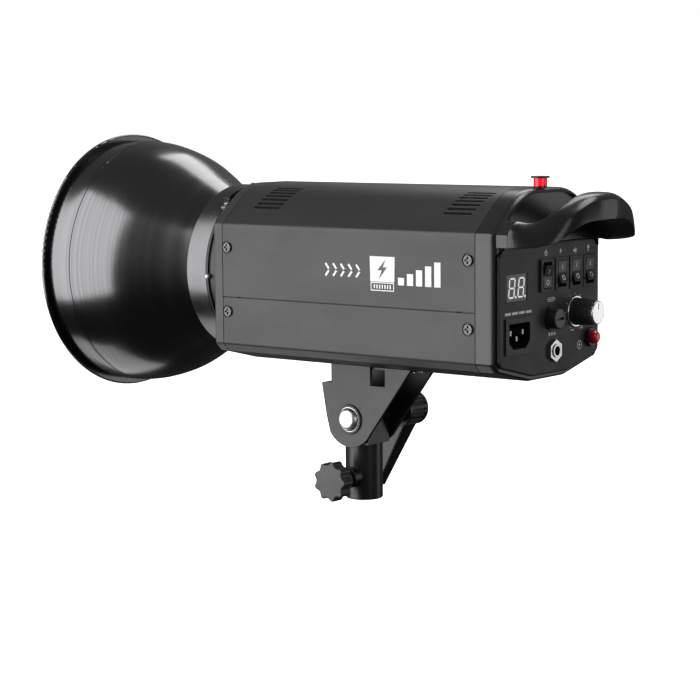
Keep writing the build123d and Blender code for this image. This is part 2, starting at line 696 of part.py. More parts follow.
# Bright collar around the neck; its rear flange has three slots for the locking pins.
with BuildPart() as reflector_collar:
    with BuildSketch(on_y(COLLAR_BACK)):
        with Locations((0, AXIS_Z)):
            Circle(COLLAR_R)
            Circle(58.25, mode=Mode.SUBTRACT)
    extrude(amount=COLLAR_BACK - COLLAR_FRONT)
    fillet(reflector_collar.edges().group_by(Axis.Y)[0].sort_by(SortBy.RADIUS)[-1], radius=0.8)
    with BuildSketch(on_y(COLLAR_BACK)):
        with Locations((0, AXIS_Z)):
            Circle(59.0)
            Circle(DRUM_R + 0.08, mode=Mode.SUBTRACT)
    extrude(amount=1.6)
    for start in (26, 146, 266):
        add(ring_sector(54.7, 57.7, start, start + 26, COLLAR_BACK + 1, COLLAR_BACK - 3), mode=Mode.SUBTRACT)
reflector_collar.part.label = "reflector_collar"

# ---------------------------------------------------------------- reflector mount
# Drum and flange, screwed to the front frame.
with BuildPart() as mount_drum:
    with BuildSketch(on_y(FRAME_FRONT)):
        with Locations((0, AXIS_Z)):
            Circle(FLANGE_R)
            Circle(DRUM_BORE_R, mode=Mode.SUBTRACT)
    extrude(amount=FRAME_FRONT - FLANGE_FRONT)
    with BuildSketch(on_y(FLANGE_FRONT)):
        with Locations((0, AXIS_Z)):
            Circle(DRUM_R)
            Circle(DRUM_BORE_R, mode=Mode.SUBTRACT)
    extrude(amount=FLANGE_FRONT - DRUM_FRONT)
    chamfer(mount_drum.edges().group_by(Axis.Y)[0], length=0.8)
mount_drum.part.label = "mount_drum"

# Turning ring that runs on the drum, with a raised rim and three locking pins.
with BuildPart() as lock_ring:
    with BuildSketch(on_y(RING_BACK)):
        with Locations((0, AXIS_Z)):
            Circle(58.6)
            Circle(DRUM_R + 0.08, mode=Mode.SUBTRACT)
    extrude(amount=RING_BACK - RING_FRONT)
    with BuildSketch(on_y(-92.9)):
        with Locations((0, AXIS_Z)):
            Circle(60.0)
            Circle(57.0, mode=Mode.SUBTRACT)
    extrude(amount=1.7)
    with BuildSketch(on_y(RING_FRONT)):
        with Locations((0, AXIS_Z)):
            with PolarLocations(56.2, 3, start_angle=36):
                Circle(1.1)
    extrude(amount=3.4)
lock_ring.part.label = "lock_ring"

# Finger lever on the ring; its back tapers away toward the top of the ring.
LEVER_BACK = [(66.2, 51.5), (66.4, 54), (65.7, 60), (63.4, 70), (61.4, 84)]
with BuildPart() as lock_lever:
    with BuildSketch(on_y(-88.2)):
        with BuildLine():
            bed = CenterArc((0, AXIS_Z), 60.05, 51, 33)
            turns = [(r, math.radians(a)) for r, a in LEVER_BACK]
            back = Spline(*[(r * math.cos(a), AXIS_Z + r * math.sin(a)) for r, a in turns])
            Line(bed @ 0, back @ 0)
            Line(bed @ 1, back @ 1)
        make_face()
    extrude(amount=6.2)
    add(ring_sector(58.65, 61.0, 58, 78, -88.2, -92.5))
lock_lever.part.label = "lock_lever"

# Spring pad under the lever and two small stops beside it.
with BuildPart() as lock_latch:
    add(ring_sector(60.2, 64.2, 62, 76, -86.6, -88.15))
    add(ring_sector(58.65, 64.0, 45.0, 46.8, -88.6, -92.6))
    add(ring_sector(58.65, 64.0, 48.6, 50.4, -88.6, -92.6))
lock_latch.part.label = "lock_latch"

# ---------------------------------------------------------------- light source
with BuildPart() as head_plate:
    with BuildSketch(on_y(FRAME_BACK)):
        with Locations((0, AXIS_Z)):
            Circle(DRUM_BORE_R)
            with GridLocations(60, 0, 2, 1):
                Circle(3.2, mode=Mode.SUBTRACT)
            with PolarLocations(41, 12, start_angle=15):
                Circle(2.4, mode=Mode.SUBTRACT)
    extrude(amount=4.0)
head_plate.part.label = "head_plate"

TUBE_R = 30.0
TUBE_Y = -122.0
LEGS_BACK = -81.0
with BuildPart() as flash_tube:
    with BuildSketch(on_y(LEGS_BACK)):
        with Locations((TUBE_R, AXIS_Z), (-TUBE_R, AXIS_Z)):
            Circle(2.6)
    extrude(amount=LEGS_BACK - TUBE_Y - 6)
    with Locations(Location((0, TUBE_Y, AXIS_Z), (90, 0, 0))):
        Torus(TUBE_R, 4.4)
    with Locations((0, TUBE_Y, AXIS_Z + TUBE_R)):
        Box(5, 12, 12, mode=Mode.SUBTRACT)
    for side in (-1, 1):
        with Locations(Location((side * TUBE_R, TUBE_Y + 5.0, AXIS_Z), (90, 0, 0))):
            Cylinder(3.4, 4.0)
flash_tube.part.label = "flash_tube"

with BuildPart() as tube_sockets:
    for side in (-1, 1):
        with BuildSketch(on_y(-80.0)):
            with Locations((side * TUBE_R, AXIS_Z)):
                Circle(5.2)
        extrude(amount=9.0)
        with BuildSketch(on_y(-80.9)):
            with Locations((side * TUBE_R, AXIS_Z)):
                Circle(2.65)
        extrude(amount=12.0, mode=Mode.SUBTRACT)
tube_sockets.part.label = "tube_sockets"

with BuildPart() as lamp_socket:
    with BuildSketch(on_y(-80.0)):
        with Locations((0, AXIS_Z)):
            Circle(16.0)
    extrude(amount=20.0)
    with BuildSketch(on_y(-100.0)):
        with Locations((0, AXIS_Z)):
            Circle(12.6)
    extrude(amount=-16.0, mode=Mode.SUBTRACT)
lamp_socket.part.label = "lamp_socket"

with BuildPart() as modelling_lamp:
    with BuildSketch(Plane.YZ):
        with BuildLine():
            Line((-84.2, AXIS_Z), (-84.2, AXIS_Z + 12.2))
            Line((-84.2, AXIS_Z + 12.2), (-104.0, AXIS_Z + 12.2))
            Spline(
                (-104.0, AXIS_Z + 12.2),
                (-114.0, AXIS_Z + 16.5),
                (-128.0, AXIS_Z + 19.0),
                (-140.0, AXIS_Z + 13.5),
                (-145.0, AXIS_Z),
                tangents=((-1, 0.2), (0, -1)),
            )
            Line((-145.0, AXIS_Z), (-84.2, AXIS_Z))
        make_face()
    revolve(axis=Axis((0, 0, AXIS_Z), (0, 1, 0)), revolution_arc=360)
modelling_lamp.part.label = "modelling_lamp"

# ---------------------------------------------------------------- inside the housing
FAN_BACK = -36.0
with BuildPart() as fan_frame:
    with BuildSketch(on_y(FAN_BACK)):
        with Locations((0, AXIS_Z)):
            RectangleRounded(92, 92, 4)
            Circle(43.0, mode=Mode.SUBTRACT)
            with GridLocations(82, 82, 2, 2):
                Circle(2.0, mode=Mode.SUBTRACT)
    extrude(amount=22.0)
    with BuildSketch(on_y(FAN_BACK)):
        with Locations((0, AXIS_Z)):
            Circle(17)
            Rectangle(90, 5)
            Rectangle(5, 90)
    extrude(amount=2.6)
    with BuildSketch(on_y(FRAME_BACK)):
        with Locations((0, AXIS_Z)):
            with GridLocations(82, 82, 2, 2):
                Circle(3.6)
    extrude(amount=-18.0)
fan_frame.part.label = "fan_frame"

with BuildPart() as fan_rotor:
    with BuildSketch(on_y(-40.0)):
        with Locations((0, AXIS_Z)):
            Circle(17)
    extrude(amount=15.0)
    for i in range(7):
        turn = i * 360 / 7
        hub_plane = Plane(origin=(0, -47.5, AXIS_Z), x_dir=(0, 1, 0), z_dir=(1, 0, 0)).rotated((0, turn, 0))
        with BuildSketch(hub_plane.offset(15.5)):
            Rectangle(12.5, 1.6, rotation=38)
        extrude(amount=25.5)
fan_rotor.part.label = "fan_rotor"

with BuildPart() as chassis_tray:
    with Locations((0, 30, Z_BOTTOM + SHEET + 1.0)):
        Box(34, 180, 2.0)
    with Locations(*[(x, y, Z_BOTTOM + 2) for x, y in BRACKET_SCREWS]):
        Cylinder(2.6, 8, mode=Mode.SUBTRACT)
chassis_tray.part.label = "chassis_tray"

BOARD_Z = 112.0
with BuildPart() as board_posts:
    with BuildSketch(Plane.XY.offset(Z_BOTTOM + SHEET + 2.0)):
        with Locations((0, 46)):
            with GridLocations(26, 64, 2, 3):
                Circle(3.0)
    extrude(amount=BOARD_Z - Z_BOTTOM - SHEET - 2.0)
board_posts.part.label = "board_posts"

with BuildPart() as main_board:
    with Locations((0, 52, BOARD_Z + 0.8)):
        Box(98, 164, 1.6)
main_board.part.label = "main_board"

with BuildPart() as capacitors:
    with BuildSketch(on_y(12.0)):
        with Locations((-33, BOARD_Z + 18.6), (0, BOARD_Z + 18.6), (33, BOARD_Z + 18.6)):
            Circle(16.2)
    extrude(amount=-62.0)
    fillet(capacitors.edges().filter_by(GeomType.CIRCLE), radius=1.5)
capacitors.part.label = "capacitors"

with BuildPart() as transformer:
    with Locations((-20, 96, BOARD_Z + 1.6 + 17)):
        Box(42, 30, 34)
    with Locations((-20, 96, BOARD_Z + 1.6 + 17)):
        Box(28, 36, 24)
transformer.part.label = "transformer"

# ---------------------------------------------------------------- tilt bracket
# Bent steel: base under the lamp, two tapering ears, the near one notched, and a web across the front.
with BuildPart() as tilt_bracket:
    with BuildSketch(Plane.YZ.offset(-EAR_OUT)) as ear:
        with BuildLine():
            Polyline(
                (-17.9, 47.5),
                (-21.0, 59.0),
                (-25.2, 82.6),
                (-16.4, 83.4),
                (-16.4, Z_BOTTOM),
                (54.0, Z_BOTTOM),
                (17.6, 48.4),
            )
            ThreePointArc((17.6, 48.4), (0, PIVOT_Z - 20.0), (-17.9, 47.5))
        make_face()
        with Locations((0, PIVOT_Z)):
            Circle(BOLT_R + 0.05, mode=Mode.SUBTRACT)
    extrude(amount=2 * EAR_OUT)
    with Locations((0, 15, 40)):
        Box(2 * EAR_IN, 120, 109, mode=Mode.SUBTRACT)
    with BuildSketch(Plane.YZ.offset(-EAR_IN - 0.5)):
        with BuildLine():
            Polyline((-21.53, 62.0), (-25.2, 82.6), (-22.7, 82.83), (-19.06, 62.2), close=True)
        make_face()
    extrude(amount=2 * EAR_IN + 1.0)
    with Locations((EAR_OUT, 24.9, 90.2)):
        Box(2 * EAR_T, 13.0, 14.0, mode=Mode.SUBTRACT)
    with Locations(*[(x, y, 96) for x, y in BRACKET_SCREWS]):
        Cylinder(2.6, 8, mode=Mode.SUBTRACT)
tilt_bracket.part.label = "tilt_bracket"

with BuildPart() as bracket_screws:
    with BuildSketch(Plane.XY.offset(94.48)):
        with Locations(*BRACKET_SCREWS):
            Circle(4.2)
    extrude(amount=-2.6)
    with BuildSketch(Plane.XY.offset(94.48)):
        with Locations(*BRACKET_SCREWS):
            Circle(2.5)
    extrude(amount=7.5)
    with BuildSketch(Plane.XY.offset(91.88)):
        with Locations(*BRACKET_SCREWS):
            RegularPolygon(radius=2.0, side_count=6)
    extrude(amount=1.6, mode=Mode.SUBTRACT)
bracket_screws.part.label = "bracket_screws"

# ---------------------------------------------------------------- pivot
ALONG_X = Plane(origin=(0, 0, PIVOT_Z), x_dir=(0, 1, 0), z_dir=(1, 0, 0))
with BuildPart() as pivot_bolt:
    with BuildSketch(ALONG_X.offset(EAR_OUT + 0.02)):
        Circle(8.4)
    extrude(amount=5.2)
    fillet(pivot_bolt.faces().sort_by(Axis.X)[-1].edges(), radius=4.2)
    with BuildSketch(ALONG_X.offset(EAR_OUT + 0.02)):
        Circle(10.8)
    extrude(amount=1.3, taper=20)
    with BuildSketch(ALONG_X.offset(EAR_OUT + 0.02)):
        Circle(BOLT_R)
    extrude(amount=-74.4)
pivot_bolt.part.label = "pivot_bolt"

with BuildPart() as friction_washers:
    with BuildSketch(ALONG_X.offset(12.1)):
        Circle(12.6)
        Circle(BOLT_R + 0.06, mode=Mode.SUBTRACT)
    extrude(amount=1.2)
    with BuildSketch(ALONG_X.offset(-12.1)):
        Circle(12.6)
        Circle(BOLT_R + 0.06, mode=Mode.SUBTRACT)
    extrude(amount=-1.2)
friction_washers.part.label = "friction_washers"

with BuildPart() as lever_washer:
    with BuildSketch(ALONG_X.offset(-EAR_OUT)):
        Circle(10.0)
        Circle(BOLT_R + 0.06, mode=Mode.SUBTRACT)
    extrude(amount=-2.0)
lever_washer.part.label = "lever_washer"

# ---------------------------------------------------------------- tilt lever
# Ribbed head on the bolt end with an arm that hangs down and forward.
with BuildPart() as tilt_lever:
    with BuildSketch(ALONG_X.offset(-18.3)):
        Circle(9.4)
    extrude(amount=-24)
    with BuildSketch(ALONG_X.offset(-39.0)):
        Circle(LEVER_HEAD_R)
    extrude(amount=LEVER_OUT + 39.0)
    fillet(tilt_lever.faces().sort_by(Axis.X)[0].edges(), radius=2.4)
    with BuildSketch(ALONG_X.offset(-42.0)):
        with PolarLocations(LEVER_HEAD_R, 20):
            Circle(0.9)
    extrude(amount=-16, mode=Mode.SUBTRACT)
    with BuildSketch(Plane(origin=(-51.5, -1.0, PIVOT_Z - 6), x_dir=(1, 0, 0), z_dir=(0, -0.42, -0.907))):
        RectangleRounded(14.0, 15.0, 3.0)
    with BuildSketch(Plane(origin=(-50.6, -15.3, PIVOT_Z - 33), x_dir=(1, 0, 0), z_dir=(0, -0.42, -0.907))):
        RectangleRounded(12.0, 13.0, 2.6)
    with BuildSketch(Plane(origin=(-49.8, -25.6, PIVOT_Z - 57.4), x_dir=(1, 0, 0), z_dir=(0, -0.42, -0.907))):
        RectangleRounded(9.0, 7.6, 2.0)
    loft()
    with BuildSketch(ALONG_X.offset(-18.3)):
        Circle(7.0)
    extrude(amount=-22, mode=Mode.SUBTRACT)
    with BuildSketch(ALONG_X.offset(-18.3)):
        Circle(BOLT_R + 0.8)
    extrude(amount=-43.8, mode=Mode.SUBTRACT)
    with BuildSketch(ALONG_X.offset(LEVER_OUT)):
        Circle(7.4)
    extrude(amount=3.0, mode=Mode.SUBTRACT)
tilt_lever.part.label = "tilt_lever"

with BuildPart() as lever_insert:
    with BuildSketch(ALONG_X.offset(-18.3)):
        Circle(6.95)
        Circle(BOLT_R + 0.05, mode=Mode.SUBTRACT)
    extrude(amount=-21.5)
lever_insert.part.label = "lever_insert"

with BuildPart() as lever_screw:
    with BuildSketch(ALONG_X.offset(LEVER_OUT + 2.9)):
        Circle(6.9)
    extrude(amount=-1.7)
    fillet(lever_screw.faces().sort_by(Axis.X)[0].edges(), radius=0.7)
    with BuildSketch(ALONG_X.offset(LEVER_OUT + 1.2)):
        Rectangle(9, 1.4)
    extrude(amount=1.0, mode=Mode.SUBTRACT)
lever_screw.part.label = "lever_screw"

# ---------------------------------------------------------------- stand socket
with BuildPart() as stand_socket:
    with BuildSketch(Plane.XY):
        Circle(SOCKET_R)
    extrude(amount=44.6)
    with BuildSketch(ALONG_X.offset(-12.1)):
        Circle(SOCKET_R)
    extrude(amount=24.2)
    with BuildSketch(Plane.XY.offset(40)):
        Rectangle(24.2, 2 * SOCKET_R)
    extrude(amount=PIVOT_Z - 40)
    with BuildSketch(Plane.YZ.offset(10)):
        with Locations((0, CLAMP_Z)):
            Circle(7.4)
    extrude(amount=9.0)
    chamfer(stand_socket.edges().group_by(Axis.Z)[0], length=0.8)
    with BuildSketch(Plane.XY):
        Circle(SOCKET_BORE_R)
    extrude(amount=SOCKET_BORE_LONG, mode=Mode.SUBTRACT)
    with BuildSketch(ALONG_X.offset(-30)):
        Circle(BOLT_R + 0.05)
    extrude(amount=60, mode=Mode.SUBTRACT)
    with BuildSketch(Plane.YZ.offset(4)):
        with Locations((0, CLAMP_Z)):
            Circle(4.05)
    extrude(amount=30, mode=Mode.SUBTRACT)
stand_socket.part.label = "stand_socket"

# ---------------------------------------------------------------- clamp screw and star knob
with BuildPart() as clamp_screw:
    with BuildSketch(Plane.YZ.offset(8.3)):
        with Locations((0, CLAMP_Z)):
            Circle(4.0)
    extrude(amount=26.0)
    chamfer(clamp_screw.edges().group_by(Axis.X)[0], length=0.8)
clamp_screw.part.label = "clamp_screw"

with BuildPart() as clamp_knob:
    with BuildSketch(Plane.YZ.offset(30.5)):
        with Locations((0, CLAMP_Z)):
            Circle(12.6)
            with PolarLocations(11.6, 9):
                Circle(2.5)
            with PolarLocations(14.6, 9, start_angle=20):
                Circle(2.6, mode=Mode.SUBTRACT)
    extrude(amount=9.5)
    fillet(clamp_knob.faces().sort_by(Axis.X)[-1].edges(), radius=1.2)
    with BuildSketch(Plane.YZ.offset(22.5)):
        with Locations((0, CLAMP_Z)):
            Circle(7.0)
    extrude(amount=8.2)
    with BuildSketch(Plane.YZ.offset(22.5)):
        with Locations((0, CLAMP_Z)):
            Circle(4.0)
    extrude(amount=11.8, mode=Mode.SUBTRACT)
clamp_knob.part.label = "clamp_knob"

# ---------------------------------------------------------------- export
export_step(upper_cover.part, "parts/upper_cover.step")
export_step(lower_cover.part, "parts/lower_cover.step")
export_step(front_frame.part, "parts/front_frame.step")
export_step(rear_housing.part, "parts/rear_housing.step")
export_step(cover_screws.part, "parts/cover_screws.step")
export_step(handle.part, "parts/handle.step")
export_step(rear_panel.part, "parts/rear_panel.step")
export_step(display_module.part, "parts/display_module.step")
export_step(display_segments.part, "parts/display_segments.step")
export_step(rocker_bezels.part, "parts/rocker_bezels.step")
export_step(rocker_1, "parts/rocker_1.step")
export_step(rocker_2, "parts/rocker_2.step")
export_step(rocker_3, "parts/rocker_3.step")
export_step(rocker_4, "parts/rocker_4.step")
export_step(mains_inlet.part, "parts/mains_inlet.step")
export_step(inlet_pins.part, "parts/inlet_pins.step")
export_step(fuse_holder.part, "parts/fuse_holder.step")
export_step(fuse_cap.part, "parts/fuse_cap.step")
export_step(fuse.part, "parts/fuse.step")
export_step(sync_jack.part, "parts/sync_jack.step")
export_step(jack_nut.part, "parts/jack_nut.step")
export_step(potentiometer.part, "parts/potentiometer.step")
export_step(dial_ring.part, "parts/dial_ring.step")
export_step(dial_shaft.part, "parts/dial_shaft.step")
export_step(power_knob.part, "parts/power_knob.step")
export_step(knob_cap.part, "parts/knob_cap.step")
export_step(test_bezel.part, "parts/test_bezel.step")
export_step(test_button.part, "parts/test_button.step")
export_step(photocell_lens.part, "parts/photocell_lens.step")
export_step(photocell_cap.part, "parts/photocell_cap.step")
export_step(photocell_base.part, "parts/photocell_base.step")
export_step(reflector_dish.part, "parts/reflector_dish.step")
export_step(reflector_collar.part, "parts/reflector_collar.step")
export_step(mount_drum.part, "parts/mount_drum.step")
export_step(lock_ring.part, "parts/lock_ring.step")
export_step(lock_lever.part, "parts/lock_lever.step")
export_step(lock_latch.part, "parts/lock_latch.step")
export_step(head_plate.part, "parts/head_plate.step")
export_step(flash_tube.part, "parts/flash_tube.step")
export_step(tube_sockets.part, "parts/tube_sockets.step")
export_step(lamp_socket.part, "parts/lamp_socket.step")
export_step(modelling_lamp.part, "parts/modelling_lamp.step")
export_step(fan_frame.part, "parts/fan_frame.step")
export_step(fan_rotor.part, "parts/fan_rotor.step")
export_step(chassis_tray.part, "parts/chassis_tray.step")
export_step(board_posts.part, "parts/board_posts.step")
export_step(main_board.part, "parts/main_board.step")
export_step(capacitors.part, "parts/capacitors.step")
export_step(transformer.part, "parts/transformer.step")
export_step(tilt_bracket.part, "parts/tilt_bracket.step")
export_step(bracket_screws.part, "parts/bracket_screws.step")
export_step(pivot_bolt.part, "parts/pivot_bolt.step")
export_step(friction_washers.part, "parts/friction_washers.step")
export_step(lever_washer.part, "parts/lever_washer.step")
export_step(tilt_lever.part, "parts/tilt_lever.step")
export_step(lever_insert.part, "parts/lever_insert.step")
export_step(lever_screw.part, "parts/lever_screw.step")
export_step(stand_socket.part, "parts/stand_socket.step")
export_step(clamp_screw.part, "parts/clamp_screw.step")
export_step(clamp_knob.part, "parts/clamp_knob.step")
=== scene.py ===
"""A monolight strobe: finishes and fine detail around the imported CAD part, with a camera, lights and a floor."""

import json
import math

import bmesh
import bpy
from mathutils import Matrix, Vector


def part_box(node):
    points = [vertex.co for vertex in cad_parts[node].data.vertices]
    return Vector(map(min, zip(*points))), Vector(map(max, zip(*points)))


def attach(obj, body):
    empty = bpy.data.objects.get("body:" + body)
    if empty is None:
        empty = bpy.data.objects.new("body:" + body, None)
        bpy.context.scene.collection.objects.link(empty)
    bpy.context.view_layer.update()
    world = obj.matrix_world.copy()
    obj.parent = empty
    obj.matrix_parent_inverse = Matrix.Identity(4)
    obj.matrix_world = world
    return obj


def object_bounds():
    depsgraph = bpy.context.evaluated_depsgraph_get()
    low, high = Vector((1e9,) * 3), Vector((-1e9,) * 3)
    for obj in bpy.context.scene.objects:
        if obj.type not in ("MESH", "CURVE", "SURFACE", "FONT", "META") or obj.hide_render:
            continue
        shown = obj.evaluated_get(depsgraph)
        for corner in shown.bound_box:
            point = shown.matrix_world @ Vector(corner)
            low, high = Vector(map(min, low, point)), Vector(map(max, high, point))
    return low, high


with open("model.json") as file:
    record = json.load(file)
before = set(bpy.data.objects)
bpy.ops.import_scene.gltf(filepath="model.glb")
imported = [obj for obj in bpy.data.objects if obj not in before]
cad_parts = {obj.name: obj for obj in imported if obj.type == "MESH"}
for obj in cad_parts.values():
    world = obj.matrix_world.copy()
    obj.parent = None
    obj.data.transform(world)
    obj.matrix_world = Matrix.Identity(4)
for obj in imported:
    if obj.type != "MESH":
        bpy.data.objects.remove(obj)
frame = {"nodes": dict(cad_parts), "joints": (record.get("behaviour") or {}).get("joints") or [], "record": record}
cad_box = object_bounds()
nodes = frame["nodes"]

MM = 0.001


# ---------------------------------------------------------------- places, from the frame
def middle(node):
    """Centre of a CAD node's box."""
    low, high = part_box(node)
    return (low + high) / 2


def frame_joint(name):
    """Record of one joint."""
    return next(joint for joint in frame["joints"] if joint["name"] == name)


def across_and_up(node):
    """Middle of a CAD node as the panel's viewer sees it, in millimetres to the right and up."""
    centre = middle(node)
    return -centre.x / MM, centre.z / MM


LIGHT_AXIS = middle("reflector_collar")
COVER_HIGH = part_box("upper_cover")[1]
SIDE_X = COVER_HIGH.x
SHOULDER_DROP = 27 * MM
SHOULDER_Z = COVER_HIGH.z - SHOULDER_DROP
PANEL_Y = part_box("rear_panel")[1].y
# The inlet's flange face is all of it that stands further out than this.
FLANGE_Y = PANEL_Y + 0.9 * MM
# The grey on the rear housing's sides, a painted reflection of the key, ends here, just above the foot of the
# handle.
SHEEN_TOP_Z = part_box("handle")[0].z + 2.8 * MM
PIVOT = frame_joint("lamp_tilt")["pos_m"]


# ---------------------------------------------------------------- camera, lights and floor
VIEW_AZIMUTH = math.radians(128.63)
VIEW_ELEVATION = math.radians(6.7)
VIEW_ROLL = math.radians(-0.51)
CAMERA_PLACE = (1.1608, 0.9156, 0.2794)
CAMERA_LENS = 108.08
SENSOR = 36.0
CLIP_NEAR = 0.05
CLIP_FAR = 40

ROOM_DIM = 0.03
ROOM_PALE = 0.16
WALL_FOOT = -0.3
WALL_TOP = 0.2

FLOOR_DROP = 0.2
FLOOR_RADIUS = 14
FLOOR_SIDES = 96
FLOOR_FADE_FROM = 0.15
FLOOR_FADE_TO = 0.9
FLOOR_GLOW_NEAR = 0.75
FLOOR_GLOW_FAR = 1.3
FLOOR_DULL = (0.88, 0.88, 0.88)
FLOOR_PALE = (0.9, 0.9, 0.9)
FLOOR_CLEAN = (0.92, 0.92, 0.92)

# Each softbox: name, place, what it faces, width and height in metres, power in watts.
SOFTBOXES = (
    ("key", (1.47, -0.87, 0.55), (0.08, -0.17, 0.16), 2.0, 2.9, 66),
    ("top", (-0.55, 0.45, 1.5), (0, 0.05, 0.2), 0.7, 0.6, 8),
    ("far_top", (-0.98, -0.38, 1.28), (0, -0.17, 0.2), 0.8, 0.6, 6),
    ("low_card", (-0.1, -0.72, -0.72), (0, -0.15, 0.1), 0.7, 0.5, 1.5),
    ("rear_left", (-0.96, 0.9, 0.02), (0, 0.16, 0.14), 0.5, 0.7, 1.2),
    ("rear_right", (0.35, 1.55, 0.35), (0.03, 0.18, 0.18), 0.5, 0.7, 2.5),
)


def add_camera():
    """Camera at the photograph's viewing angle, turned about its own view line by the roll."""
    back = Vector((
        math.sin(VIEW_AZIMUTH) * math.cos(VIEW_ELEVATION),
        -math.cos(VIEW_AZIMUTH) * math.cos(VIEW_ELEVATION),
        math.sin(VIEW_ELEVATION),
    ))
    right = Vector((0, 0, 1)).cross(back).normalized()
    up = back.cross(right)
    turned_right = right * math.cos(VIEW_ROLL) + up * math.sin(VIEW_ROLL)
    turned_up = up * math.cos(VIEW_ROLL) - right * math.sin(VIEW_ROLL)
    data = bpy.data.cameras.new("view")
    data.lens = CAMERA_LENS
    data.sensor_width = SENSOR
    data.clip_start = CLIP_NEAR
    data.clip_end = CLIP_FAR
    camera = bpy.data.objects.new("view", data)
    turn = Matrix((turned_right, turned_up, back)).transposed().to_4x4()
    camera.matrix_world = Matrix.Translation(CAMERA_PLACE) @ turn
    bpy.context.scene.collection.objects.link(camera)
    bpy.context.scene.camera = camera


def add_softbox(name, place, target, width, height, watts):
    """Rectangular area light at place that faces target."""
    data = bpy.data.lights.new(name, "AREA")
    data.shape = "RECTANGLE"
    data.size = width
    data.size_y = height
    data.energy = watts
    lamp = bpy.data.objects.new(name, data)
    lamp.location = place
    lamp.rotation_mode = "QUATERNION"
    lamp.rotation_quaternion = (Vector(target) - Vector(place)).to_track_quat("-Z", "Y")
    bpy.context.scene.collection.objects.link(lamp)


def add_world():
    """White behind the object for the camera; for the object a dim room, darker below than above."""
    world = bpy.data.worlds.new("studio")
    world.use_nodes = True
    bpy.context.scene.world = world
    tree = world.node_tree
    tree.nodes.clear()
    output = tree.nodes.new("ShaderNodeOutputWorld")
    seen = tree.nodes.new("ShaderNodeBackground")
    seen.inputs["Color"].default_value = (1, 1, 1, 1)
    seen.inputs["Strength"].default_value = 1.0
    room = tree.nodes.new("ShaderNodeBackground")
    room.inputs["Color"].default_value = (0.98, 0.99, 1, 1)
    direction = tree.nodes.new("ShaderNodeTexCoord")
    split = tree.nodes.new("ShaderNodeSeparateXYZ")
    tree.links.new(direction.outputs["Generated"], split.inputs[0])
    height = tree.nodes.new("ShaderNodeMapRange")
    height.inputs["From Min"].default_value = WALL_FOOT
    height.inputs["From Max"].default_value = WALL_TOP
    height.inputs["To Min"].default_value = ROOM_DIM
    height.inputs["To Max"].default_value = ROOM_PALE
    tree.links.new(split.outputs["Z"], height.inputs["Value"])
    tree.links.new(height.outputs["Result"], room.inputs["Strength"])
    rays = tree.nodes.new("ShaderNodeLightPath")
    mix = tree.nodes.new("ShaderNodeMixShader")
    tree.links.new(rays.outputs["Is Camera Ray"], mix.inputs["Fac"])
    tree.links.new(room.outputs["Background"], mix.inputs[1])
    tree.links.new(seen.outputs["Background"], mix.inputs[2])
    tree.links.new(mix.outputs["Shader"], output.inputs["Surface"])


def add_floor():
    """Plain pale floor, as far below the socket as the tilted lamp reaches, fading into the white behind it."""
    floor = Finish("floor_pale", FLOOR_PALE, 0.7, specular=0.1)
    floor.set("Base Color", floor.blend(floor.span(floor.noise(3), 0.3, 0.7), FLOOR_DULL, FLOOR_CLEAN))
    floor.shader.inputs["Emission Color"].default_value = (1, 1, 1, 1)
    away = floor.from_axis((0, 0, 0), "Z")
    glow = floor.span(away, FLOOR_FADE_FROM, FLOOR_FADE_TO, FLOOR_GLOW_NEAR, FLOOR_GLOW_FAR)
    floor.set("Emission Strength", glow)
    mesh = bpy.data.meshes.new("floor")
    made = bmesh.new()
    bmesh.ops.create_circle(made, cap_ends=True, radius=FLOOR_RADIUS, segments=FLOOR_SIDES)
    made.to_mesh(mesh)
    made.free()
    mesh.materials.append(floor.material)
    piece = bpy.data.objects.new("floor", mesh)
    piece.location.z = cad_box[0].z - FLOOR_DROP
    piece.visible_diffuse = False
    piece.visible_glossy = False
    piece.visible_shadow = False
    bpy.context.scene.collection.objects.link(piece)


# ---------------------------------------------------------------- material graphs
BEVEL_SAMPLES = 4
EDGE_RADIUS = 0.6 * MM
PAINT_GRAIN = 1900
PAINT_DEPTH = 0.05 * MM


def lighter(colour, factor):
    """colour scaled by factor, or darkened by a factor under 1."""
    return tuple(min(1.0, c * factor) for c in colour)


